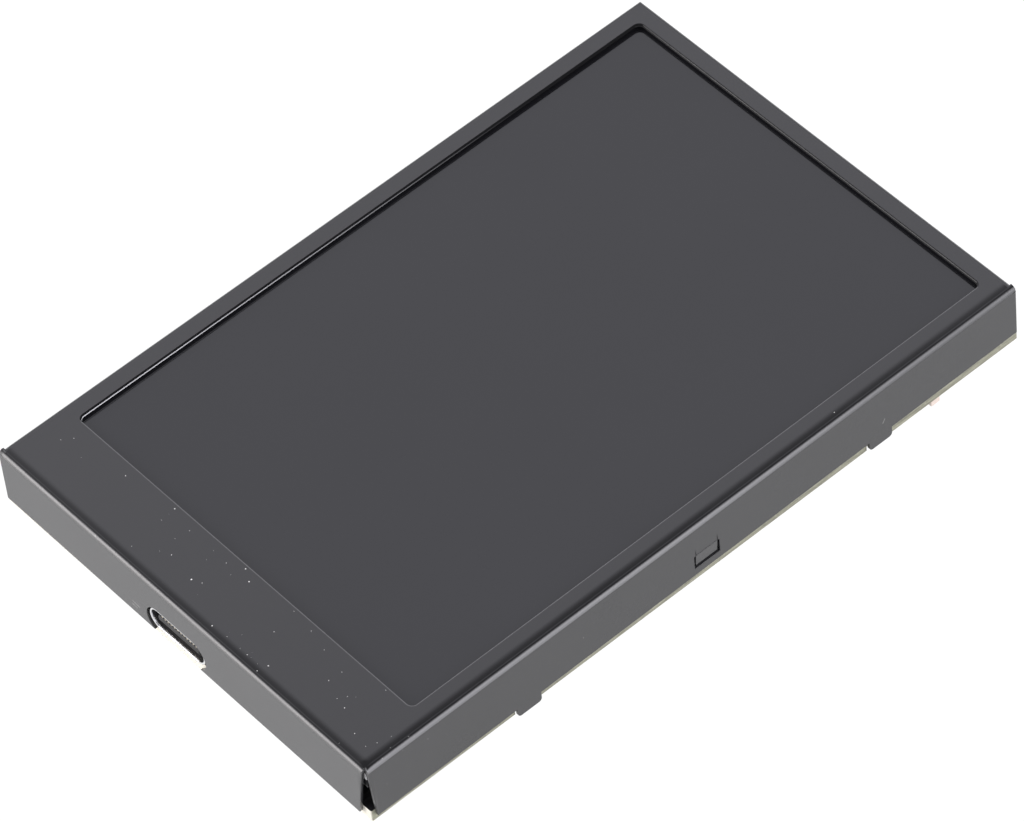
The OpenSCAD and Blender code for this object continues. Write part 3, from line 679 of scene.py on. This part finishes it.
def makeCover():
    bm = bmesh.new()
    bm.from_mesh(nodes["front_cover"].data)
    bmesh.ops.remove_doubles(bm, verts=bm.verts, dist=1e-6)
    bmesh.ops.dissolve_limit(bm, angle_limit=math.radians(1), verts=bm.verts, edges=bm.edges,
                             delimit={"NORMAL"})
    cutFolds(bm)
    bmesh.ops.recalc_face_normals(bm, faces=bm.faces)

    # cut edges get a fine rounding, and the window's upper edge a wider one; where two folds meet
    # the edges are too short to be rounded
    weights = bm.edges.layers.float.new("bevel_weight_edge")
    for edge in bm.edges:
        middle = (edge.verts[0].co + edge.verts[1].co) / 2
        bent = len(edge.link_faces) == 2 and edge.calc_face_angle() > math.radians(50)
        if bent and not atCorner(middle):
            edge[weights] = cover["rim"] / cover["windowRim"]
            if inWindow(middle) and all(vert.co.z > coverHigh.z - 1e-6 for vert in edge.verts):
                edge[weights] = 1.0
    mesh = plainMesh(bm, "coverShell", 60)
    piece = newPiece("coverShell", mesh, [coverPaint()], "cover_paint", "front_cover")
    rim = piece.modifiers.new("rim", "BEVEL")
    rim.width = cover["windowRim"]
    rim.segments = 3
    rim.limit_method = "WEIGHT"
    rim.use_clamp_overlap = False
    even = piece.modifiers.new("even", "WEIGHTED_NORMAL")
    even.keep_sharp = False
    even.weight = 80
    mesh = piece.data = applied(piece)

    # rolls the border off, and gives folds and border their exact normals
    normals = [Vector(corner.vector) for corner in mesh.corner_normals]
    up, mostLean = Vector((0, 0, 1)), math.radians(cover["rimLean"])
    for face in mesh.polygons:
        for loop in face.loop_indices:
            co = mesh.vertices[mesh.loops[loop].vertex_index].co
            _, exact, skin = rollOff(co)
            if skin > 0.97 and face.normal.dot(exact) > 0.93:
                normals[loop] = exact
            if inWindow(co) and face.normal.z > 0.2 and face.normal.x + face.normal.y > 0.02:
                lean = up.angle(normals[loop])
                if lean > mostLean:
                    normals[loop] = up.slerp(normals[loop], mostLean / lean)
    for vert in mesh.vertices:
        vert.co = rollOff(vert.co)[0]
    mesh.normals_split_custom_set(normals)
    print("cover:", len(mesh.polygons), "faces")


makeCover()


# Panel: polariser, glass, films, frame and tray, and the tape and pads that hold them.

panel = {
    "polariser": (0.012, 0.012, 0.014),
    "roughness": 0.10,
    "white": (0.88, 0.88, 0.86),
    "frameDark": (0.012, 0.012, 0.013),
    "whiteBand": (8.5 * mm, 9.5 * mm),  # the frame's white shows between these two heights
}


def makePanel():
    tones = panel["polariser"], scaled(panel["polariser"], 1.2)
    face, tree, shader, coords = mottled("polariserFace", *tones, 14 * mm, panel["roughness"], detail=2)
    bump(tree, shader, noise(tree, coords, 0.06 * mm, 2), 0.0004 * mm, 0.4)
    paint(face, "front_polariser")
    glass = mottled("panelGlass", (0.02, 0.024, 0.026), (0.03, 0.034, 0.036), 4 * mm, 0.06)[0]
    paint(glass, "upper_glass", "lower_glass")
    back = mottled("rearPolariser", (0.05, 0.05, 0.055), (0.07, 0.07, 0.075), 3 * mm, 0.3)[0]
    paint(back, "rear_polariser")

    film, tree, shader, coords = newMaterial("pearlFilm", (0.86, 0.87, 0.88), 0.45)
    ribs = addNode(tree, "ShaderNodeTexWave", {"Vector": coords, "Scale": 1 / (0.8 * mm)},
                   bands_direction="Y")
    bump(tree, shader, ribs.outputs["Fac"], 0.01 * mm)
    paint(film, "diffuser_film", "reflector_film")

    guide, tree, shader, coords = newMaterial("clearAcrylic", (0.8, 0.86, 0.88), 0.08)
    dots = below(tree, cells(tree, coords, 0.5 * mm)["Distance"], 0.25)
    tint(tree, shader, (0.8, 0.86, 0.88), (0.93, 0.95, 0.96), dots)
    paint(guide, "light_guide")

    # the frame is white in one band between two heights, and near black everywhere else
    plastic, tree, shader, coords = newMaterial("bandedFrame", panel["white"], 0.45)
    bare = between(tree, parts(tree, coords)["Z"], *panel["whiteBand"])
    tint(tree, shader, panel["frameDark"], panel["white"], bare)
    bump(tree, shader, noise(tree, coords, 0.3 * mm), 0.005 * mm)
    paint(plastic, "panel_frame")

    steel, tree, shader, coords = newMaterial("traySteel", (0.62, 0.62, 0.63), 0.34, 1.0)
    grain = noise(tree, stretched(tree, coords, (1, 40, 40)), 6 * mm, 4)
    uneven(tree, shader, grain, 0.26, 0.42)
    bump(tree, shader, grain, 0.002 * mm)
    paint(steel, "rear_tray")

    tape, tree, shader, coords = newMaterial("blackTape", (0.008, 0.008, 0.008), 0.8)
    bump(tree, shader, noise(tree, coords, 0.15 * mm), 0.02 * mm)
    paint(tape, "bezel_tape")
    foam, tree, shader, coords = newMaterial("blackFoam", (0.03, 0.03, 0.03), 0.95)
    bump(tree, shader, cells(tree, coords, 0.3 * mm)["Distance"], 0.08 * mm)
    paint(foam, *(f"foam_pad_{k}" for k in range(1, 5)))

    flex, tree, shader, coords = newMaterial("amberFlex", (0.5, 0.26, 0.06), 0.35)
    across = calc(tree, "DIVIDE", parts(tree, coords)["Y"], 0.5 * mm)
    track = above(tree, calc(tree, "FRACT", across), 0.45)
    tint(tree, shader, (0.45, 0.22, 0.05), (0.62, 0.36, 0.12), track)
    bump(tree, shader, track, 0.02 * mm)
    paint(flex, "display_tail", "lamp_strip")
    paint(mottled("bareSilicon", (0.09, 0.09, 0.11), (0.15, 0.15, 0.18), 0.3 * mm, 0.15)[0], "driver_chip")
    lamp = mottled("lampPhosphor", (0.85, 0.8, 0.4), (0.92, 0.9, 0.75), 0.4 * mm, 0.4)[0]
    paint(lamp, *(f"lamp_{k}" for k in range(1, 7)))


makePanel()
print("panel is finished")


# Circuit board: black mask on its faces, bare glass laminate on its edges.

board = {
    "mask": (0.012, 0.012, 0.014),
    "copper": (0.034, 0.034, 0.037),  # the mask over a copper run
    "laminate": (0.265, 0.262, 0.195),
    "fibres": (0.45, 0.43, 0.34),
    # painted light on the laminate at both ends
    "litLaminate": (0.62, 0.60, 0.52),
    "trackPitch": 0.6 * mm,
    "trackLength": 7 * mm,
    "trackWidth": 0.34,  # share of the pitch
    "trackShare": 0.3,
}
boardUnder, boardTop = (corner.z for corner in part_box("circuit_board"))


def tracks(tree, coords, along, across):
    # copper runs under the mask: cells of a grid, each with or without a run
    spot = parts(tree, coords)
    rows = calc(tree, "DIVIDE", spot[across], board["trackPitch"])
    column = calc(tree, "FLOOR", calc(tree, "DIVIDE", spot[along], board["trackLength"]))
    cell = joined(tree, column, calc(tree, "FLOOR", rows), ord(along))
    chance = addNode(tree, "ShaderNodeTexWhiteNoise", {"Vector": cell}).outputs["Value"]
    aside = calc(tree, "ABSOLUTE", calc(tree, "SUBTRACT", calc(tree, "FRACT", rows), 0.5))
    inRun = below(tree, aside, board["trackWidth"] / 2)
    return product(tree, inRun, below(tree, chance, board["trackShare"]))


def paintBoard():
    made, tree, shader, coords = newMaterial("boardFaces", board["mask"], 0.35)
    facing = faceNormal(tree)
    edge = below(tree, calc(tree, "ABSOLUTE", facing["Z"]), 0.5)
    layers = noise(tree, stretched(tree, coords, (1, 1, 30)), 3 * mm, 4)
    laminate = mixColors(tree, ramp(tree, layers, 0.35, 0.65), scaled(board["laminate"], 0.72),
                         scaled(board["laminate"], 1.35))
    fibres = ramp(tree, noise(tree, coords, 0.35 * mm), 0.55, 0.8)
    laminate = mixColors(tree, fibres, laminate, board["fibres"])
    # painted light: the edges at both ends are painted paler
    litEnds = ramp(tree, calc(tree, "ABSOLUTE", facing["X"]), 0.4, 0.9)
    laminate = mixColors(tree, litEnds, laminate, board["litLaminate"])
    mask = mixColors(tree, noise(tree, coords, 5 * mm), board["mask"], (0.02, 0.02, 0.023))
    copper = calc(tree, "MAXIMUM", tracks(tree, coords, "X", "Y"), tracks(tree, coords, "Y", "X"))
    mask = mixColors(tree, copper, mask, board["copper"])
    tree.links.new(mixColors(tree, edge, mask, laminate), shader.inputs["Base Color"])
    tree.links.new(ramp(tree, edge, 0.0, 1.0, 0.35, 0.75), shader.inputs["Roughness"])
    height = calc(tree, "ADD", product(tree, layers, edge), product(tree, copper, 0.7))
    bump(tree, shader, height, 0.03 * mm)
    paint(made, "circuit_board")


paintBoard()
print("board is finished")


# Data port: drawn steel shell, insulator with its tongue, and two rows of contacts.

port = {
    "sheet": 0.3 * mm,
    # the rolled mouth, as (depth, inset) from outside to inside
    "mouth": ((0.16 * mm, 0), (0.05 * mm, 0.03 * mm), (0, 0.11 * mm), (0, 0.17 * mm),
              (0.06 * mm, 0.25 * mm)),
    "throat": 0.28 * mm,
    "legWidth": 1.1 * mm,
    "legPlaces": (2.2 * mm, 6.25 * mm),
    "tongue": (6.7 * mm, 0.7 * mm),
    "tongueBack": 0.2 * mm,
    "plug": 2.2 * mm,  # depth of the moulding that closes the shell's back
    "steel": ((0.70, 0.70, 0.71), (0.82, 0.82, 0.83)),
    "plastic": (0.007, 0.007, 0.0075),
    "contacts": 12,
    "pitch": 0.5 * mm,
    "contactWidth": 0.25 * mm,
    "contactThickness": 0.05 * mm,
    "contactBack": 0.14 * mm,
}


def barRows():
    # bars side by side along Y, in two rows one above the other
    tree, given, output = geometryTree("barRows", {
        "Count": "Int", "Pitch": "Float", "Width": "Float", "Thickness": "Float", "Length": "Float",
        "Spread": "Float", "Material": "Material"})
    section = addNode(tree, "GeometryNodeCurvePrimitiveQuadrilateral",
                      {"Width": given["Width"], "Height": given["Thickness"]})
    softened = addNode(tree, "GeometryNodeFilletCurve",
                       {"Curve": section.outputs[0], "Radius": product(tree, given["Thickness"], 0.4),
                        "Count": 2}, mode="POLY")
    run = addNode(tree, "GeometryNodeCurvePrimitiveLine", {"End": joined(tree, given["Length"])})
    bar = addNode(tree, "GeometryNodeCurveToMesh",
                  {"Curve": run.outputs[0], "Profile Curve": softened.outputs[0], "Fill Caps": True})
    both = tree.nodes.new("GeometryNodeJoinGeometry")
    for side in (-0.5, 0.5):
        height = product(tree, given["Spread"], side)
        tree.links.new(rowOfCopies(tree, given, bar.outputs[0], 0.0, height), both.inputs[0])
    endTree(tree, both.outputs[0], given["Material"], output)
    return tree


def makePort():
    low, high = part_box("port_shell")
    width, height, length = high.y - low.y, high.z - boardTop, high.x - low.x
    middle = Vector((low.x, (low.y + high.y) / 2, high.z - height / 2))
    t = port["sheet"]

    def inPort(u, v, depth):
        return middle + Vector((depth, u, v))

    bm = bmesh.new()
    wall = [(length, 0), *port["mouth"], (port["throat"], t), (length, t)]
    inside = [0, 0, 0, 0, 0, 0, 1, 0]
    loft(bm, (width, height, height / 2), wall, inPort, steps=12, tube=True, materials=inside)
    for along in port["legPlaces"]:
        for side in (-1, 1):
            y = middle.y + side * (width - t) / 2
            addBox(bm, (low.x + along - port["legWidth"] / 2, y - t / 2, low.z),
                   (low.x + along + port["legWidth"] / 2, y + t / 2, middle.z), 0.09 * mm)
    drawn, tree, shader, coords = mottled("drawnSteel", *port["steel"], 1.2 * mm, 0.16, 1.0)
    grain = noise(tree, stretched(tree, coords, (0.08, 1, 1)), 0.12 * mm)
    uneven(tree, shader, grain, 0.10, 0.24)
    bump(tree, shader, grain, 0.0015 * mm)
    # painted shade: the inside is a dark copy of the steel
    shadedInside = grainy("shadedSteel", (0.035, 0.035, 0.036), (0.08, 0.08, 0.082), 0.5 * mm, 0.35, 0.1 * mm,
                    0.003 * mm, 0.6)
    mesh = finishMesh(bm, "portShell", 40)
    newPiece("portShell", mesh, [drawn, shadedInside], "port_steel", "port_shell")

    bm = bmesh.new()
    inner = (width - 2 * t, height - 2 * t, height / 2 - t)
    plugFront = length - port["plug"]
    plug = [(length, 0.05 * mm), (length - 0.05 * mm, 0), (plugFront + 0.1 * mm, 0), (plugFront, 0.1 * mm)]
    loft(bm, inner, plug, inPort, steps=12)
    tongueWidth, tongueHeight = port["tongue"]
    front = port["tongueBack"]
    slope = [(length - port["plug"] * 0.5, 0), (front + 0.18 * mm, 0), (front + 0.04 * mm, 0.09 * mm),
             (front, 0.16 * mm)]
    loft(bm, (tongueWidth, tongueHeight, 0.12 * mm), slope, inPort, steps=3)
    tones = scaled(port["plastic"], 0.8), scaled(port["plastic"], 1.4)
    plastic, tree, shader, coords = mottled("portMoulding", *tones, 0.9 * mm, 0.6)
    bump(tree, shader, noise(tree, coords, 0.05 * mm, 2), 0.004 * mm, 0.7)
    newPiece("portCore", finishMesh(bm, "portCore", 40), [plastic], "port_plastic", "port_core")

    start = front + port["contactBack"]
    gold = mottled("goldPlate", (0.90, 0.80, 0.58), (0.95, 0.90, 0.76), 0.25 * mm, 0.3, 0.45)[0]
    values = {"Count": port["contacts"], "Pitch": port["pitch"], "Width": port["contactWidth"],
              "Thickness": port["contactThickness"], "Length": length - port["plug"] - start,
              "Spread": tongueHeight + port["contactThickness"], "Material": gold}
    mesh = grown(barRows(), "portContacts", values)
    mesh.transform(Matrix.Translation(middle + Vector((start, 0, 0))))
    newPiece("portContacts", mesh, [], "gold", "port_contacts")


makePort()
print("port is finished")


# Parts under the board, each built from the box of its node.

under = {
    "plastic": (0.022, 0.022, 0.023),
    "draft": 0.08,  # share of a case's height that its sides lean in
    "leadThickness": 0.15 * mm,
    "leadStart": 0.2 * mm,  # how far a lead reaches into its case
    "wideTab": 3.0 * mm,
    "solder": 0.05 * mm,
    "solderColor": (0.62, 0.62, 0.63),
    "ceramic": (0.72, 0.55, 0.46),
    "glaze": (0.02, 0.02, 0.022),
    "capEnd": 0.44 * mm,
    "resistorEnd": 0.32 * mm,
    "endThickness": 0.025 * mm,
}


def tinned(name, color=(0.70, 0.70, 0.71), roughness=0.32, metallic=1.0):
    tones = scaled(color, 0.9), scaled(color, 1.1)
    made, tree, shader, coords = mottled(name, *tones, 0.3 * mm, roughness, metallic)
    uneven(tree, shader, noise(tree, coords, 0.15 * mm), roughness - 0.1, roughness + 0.1)
    bump(tree, shader, noise(tree, coords, 0.2 * mm), 0.004 * mm)
    return made


def moulded(name, dimple, reach):
    # moulding compound, with a round dimple that marks the first lead
    tones = scaled(under["plastic"], 0.75), scaled(under["plastic"], 1.5)
    made, tree, shader, coords = mottled(name, *tones, 0.5 * mm, 0.6)
    away = vectorCalc(tree, "DISTANCE", coords, dimple, "Value")
    bowl = ramp(tree, away, reach * 0.7, reach, 0.0, 8.0)
    bump(tree, shader, calc(tree, "ADD", noise(tree, coords, 0.07 * mm), bowl), 0.006 * mm, 0.8)
    return made


def middleOf(name):
    low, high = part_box(name)
    return (low + high) / 2, high - low


def makeCase(node, name, slot, levels, corner, material, steps=4):
    # a rounded case; levels run down from the board as (share of its height, inset)
    middle, size = middleOf(node)
    top = middle.z + size.z / 2
    bm = bmesh.new()

    def spot(u, v, share):
        return Vector((middle.x + u, middle.y + v, top - share * size.z))

    loft(bm, (size.x, size.y, corner), levels, spot, steps)
    newPiece(name, finishMesh(bm, name, 30), [material], slot, node)


def makeCases():
    for node, name in (("controller", "controllerCase"), ("memory_chip", "memoryCase"),
                       ("regulator", "regulatorCase"), ("boost_driver", "boostCase")):
        middle, size = middleOf(node)
        lean, edge = under["draft"] * size.z, 0.05 * mm
        levels = [(0.0, lean), (0.46, 0.0), (0.5, 0.0), (0.97, lean), (0.99, lean + edge * 0.5),
                  (1.0, lean + edge)]
        dimple = (middle.x - size.x * 0.36, middle.y + size.y * 0.36, middle.z - size.z / 2)
        material = moulded(name, dimple, min(size.x, size.y) * 0.07)
        makeCase(node, name, "chip_plastic", levels, 0.12 * mm, material)

    can = tinned("crystalCan", (0.66, 0.65, 0.62), 0.28)
    levels = [(0.0, 0.0), (0.42, 0.0), (0.45, 0.02 * mm), (0.5, 0.12 * mm), (0.9, 0.14 * mm),
              (0.97, 0.17 * mm), (1.0, 0.24 * mm)]
    makeCase("crystal", "crystalCan", "crystal_can", levels, 0.3 * mm, can)

    tones = (0.045, 0.045, 0.05), (0.09, 0.09, 0.095)
    ferrite = grainy("ferrite", *tones, 0.4 * mm, 0.7, 0.12 * mm, 0.02 * mm)
    levels = [(0.0, 0.05 * mm), (0.03, 0.0), (0.16, 0.0), (0.2, 0.25 * mm), (0.34, 0.3 * mm),
              (0.38, 0.02 * mm), (0.94, 0.0), (0.98, 0.05 * mm), (1.0, 0.14 * mm), (1.0, 0.5 * mm),
              (0.985, 0.56 * mm)]
    makeCase("boost_coil", "boostCoil", "ferrite", levels, 0.75 * mm, ferrite, 6)


def gullWing(out, rise, width):
    # one lead, from a case at the start of X up to the board at height 0
    t, foot = under["leadThickness"], out * 0.5
    out += under["leadStart"]
    bend = min(0.35 * out, 0.3 * mm)
    path = [(0, -rise), (bend * 0.6, -rise), (bend, -rise + 0.1 * mm),
            (out - foot - 0.04 * mm, -t - 0.06 * mm), (out - foot + 0.06 * mm, -t / 2),
            (out - 0.03 * mm, -t / 2), (out, -t / 2)]
    bm = bmesh.new()
    rings = []
    for k, (x, z) in enumerate(path):
        before, after = path[max(k - 1, 0)], path[min(k + 1, len(path) - 1)]
        run = Vector((after[0] - before[0], after[1] - before[1])).normalized() * t / 2
        half = width / 2 - (0.03 * mm if k in (0, len(path) - 1) else 0.0)
        rings.append([bm.verts.new((x - run.y * s, y, z + run.x * s))
                      for s, y in ((1, -half), (1, half), (-1, half), (-1, -half))])
    skin(bm, rings)
    bm.faces.new(rings[0])
    bm.faces.new(rings[-1])
    return finishMesh(bm, "lead", 40)


def solderPad(start, end, width):
    # a low pad of solder
    bm = bmesh.new()
    thick = under["solder"]
    middle = (start + end) / 2

    def spot(u, v, height):
        return Vector((middle + u, v, -height))

    levels = [(0, 0), (thick * 0.6, 0.03 * mm), (thick, 0.08 * mm)]
    loft(bm, (end - start, width, 0.08 * mm), levels, spot, 3)
    return finishMesh(bm, "pad", 50)


def leadRows():
    # copies the start mesh in a row along Y, and turns the row about Z to each side
    tree, given, output = geometryTree("leadRows", {
        "Geometry": "Geometry", "Count": "Int", "Pitch": "Float", "Reach": "Float", "Sides": "Int",
        "Turn": "Float", "Material": "Material"})
    row = rowOfCopies(tree, given, given["Geometry"], given["Reach"], 0.0)
    sides = addNode(tree, "GeometryNodeMeshLine", {"Count": given["Sides"], "Offset": (0, 0, 0)})
    index = tree.nodes.new("GeometryNodeInputIndex").outputs[0]
    angle = calc(tree, "DIVIDE", product(tree, index, 2 * math.pi), given["Sides"])
    turn = joined(tree, z=calc(tree, "ADD", angle, given["Turn"]))
    turned = addNode(tree, "FunctionNodeEulerToRotation", {"Euler": turn})
    rows = addNode(tree, "GeometryNodeInstanceOnPoints",
                   {"Points": sides.outputs[0], "Instance": row, "Rotation": turned.outputs[0]})
    endTree(tree, rows.outputs[0], given["Material"], output)
    return tree


def makeLeads():
    tin, solder = tinned("tinnedLead"), tinned("solder", under["solderColor"], 0.24)
    tree = leadRows()
    rows = (
        # chip, its leads, new name, leads on a side, pitch, width, sides
        ("controller", "controller_leads", "controllerLeads", 12, 0.5 * mm, 0.22 * mm, 4),
        ("memory_chip", "memory_leads", "memoryLeads", 4, 1.27 * mm, 0.42 * mm, 2),
        ("regulator", "regulator_leads", "regulatorLeads", 3, 2.3 * mm, 0.7 * mm, 1),
        ("boost_driver", "boost_leads", "boostLeads", 3, 0.95 * mm, 0.38 * mm, 2),
    )
    for chip, node, name, count, pitch, width, sides in rows:
        body, size = middleOf(chip)
        _, full = middleOf(node)
        # leads stand out where their box is the wider of the two
        along = 0 if full.x - size.x > full.y - size.y else 1
        turn = math.pi / 2 * along
        out = (full[along] - size[along]) / 2
        reach = size[along] / 2
        rise = abs(body.z - boardUnder)
        start = reach - under["leadStart"]
        values = {"Count": count, "Pitch": pitch, "Reach": start, "Sides": sides, "Turn": turn,
                  "Material": tin}
        mesh = grown(tree, node, values, gullWing(out, rise, width))
        foot = solderPad(out * 0.42, out - 0.001 * mm, width + 0.1 * mm)
        pads = grown(tree, node + "Pads", dict(values, Reach=reach, Material=solder), foot)
        bm = bmesh.new()
        bm.from_mesh(mesh)
        bm.from_mesh(pads)
        if sides == 1:
            # the wide tab, opposite to the row of three leads
            wide = gullWing(out, rise, under["wideTab"])
            wide.transform(Matrix.Rotation(turn + math.pi, 4, "Z") @ Matrix.Translation((start, 0, 0)))
            bm.from_mesh(wide)
        mesh = plainMesh(bm, node, 40)
        mesh.transform(Matrix.Translation((body.x, body.y, boardUnder)))
        newPiece(name, mesh, [tin], "tin", node)


def makePassives():
    ends = tinned("tinnedEnd", (0.74, 0.73, 0.71), 0.3)
    paleEnds = tinned("paleEnd", (0.80, 0.68, 0.60), 0.4, 0.3)
    tan, black = under["ceramic"], under["glaze"]
    clay = grainy("tanCeramic", scaled(tan, 0.85), scaled(tan, 1.15), 0.5 * mm, 0.45, 0.1 * mm, 0.01 * mm)
    glaze = grainy("blackGlaze", black, scaled(black, 2.0), 0.4 * mm, 0.25, 0.15 * mm, 0.004 * mm)
    kinds = (("capacitor", 8, "ceramic", [clay, paleEnds], under["capEnd"], 0.13 * mm),
             ("resistor", 6, "resistor", [glaze, ends], under["resistorEnd"], 0.05 * mm))
    for kind, count, slot, materials, end, soft in kinds:
        for number in range(1, count + 1):
            node, name = f"{kind}_{number}", f"{kind}{number}"
            low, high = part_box(node)
            along = 0 if high.x - low.x > high.y - low.y else 1
            bm = bmesh.new()
            bodyLow, bodyHigh = ([c + way * under["endThickness"] for c in corner]
                                 for corner, way in ((low, 1), (high, -1)))
            bodyLow[along], bodyHigh[along] = low[along] + end * 0.4, high[along] - end * 0.4
            addBox(bm, bodyLow, bodyHigh, soft * 0.8, 3)
            firstHigh, lastLow = list(high), list(low)
            firstHigh[along], lastLow[along] = low[along] + end, high[along] - end
            addBox(bm, low, firstHigh, soft, 3, 1)
            addBox(bm, lastLow, high, soft, 3, 1)
            newPiece(name, finishMesh(bm, name, 50), materials, slot, node)


makeCases()
makeLeads()
print("chips and their leads are finished")
makePassives()
print("capacitors and resistors are finished")


# Mounting nuts: turned and threaded, soldered to the board by their shanks.

nut = {
    "bore": 1.25 * mm,
    "pitch": 0.45 * mm,
    "threadDepth": 0.17 * mm,
    "countersink": 0.25 * mm,
    "soft": 0.12 * mm,  # rounding of the outer edges
    "shank": 2.1 * mm,  # its radius
    "solderReach": 0.42 * mm,
    "solderHeight": 0.45 * mm,
}


def makeNuts():
    tones = (0.66, 0.52, 0.30), (0.78, 0.64, 0.40)
    brass, tree, shader, coords = mottled("platedBrass", *tones, 0.6 * mm, 0.26, 1.0)
    bump(tree, shader, noise(tree, stretched(tree, coords, (1, 1, 14)), 0.5 * mm, 2), 0.006 * mm)
    solder = tinned("nutSolder", under["solderColor"], 0.24)
    bore, pitch, soft, shank = (nut[key] for key in ("bore", "pitch", "soft", "shank"))
    for k in range(1, 5):
        node, name = f"mounting_nut_{k}", f"mountingNut{k}"
        low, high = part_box(node)
        middle = (low + high) / 2
        outer = (high.x - low.x) / 2
        profile = [(bore + nut["countersink"], low.z), (outer - soft, low.z), (outer, low.z + soft),
                   (outer, boardUnder - soft), (outer - soft * 0.5, boardUnder), (shank, boardUnder),
                   (shank, high.z - 0.05 * mm), (shank - 0.05 * mm, high.z), (bore + 0.1 * mm, high.z)]
        # the thread's flanks, from the top of the bore down to its countersink
        z = high.z - 0.15 * mm
        while z > low.z + 0.3 * mm:
            profile += [(bore, z), (bore, z - pitch * 0.3), (bore + nut["threadDepth"], z - pitch * 0.6)]
            z -= pitch
        bm = bmesh.new()
        lathe(bm, profile, middle, 40, 0)
        foot, reach = boardUnder - nut["solderHeight"], outer + nut["solderReach"]
        ring = [(outer - 0.05 * mm, foot), (outer + 0.01 * mm, foot),
                (outer + 0.1 * mm, boardUnder - 0.17 * mm), (reach, boardUnder - 0.02 * mm),
                (reach, boardUnder), (outer - 0.05 * mm, boardUnder)]
        lathe(bm, ring, middle, 40, 1)
        newPiece(name, finishMesh(bm, name, 40), [brass, solder], "nut_brass", node)


makeNuts()
print("nuts are finished")
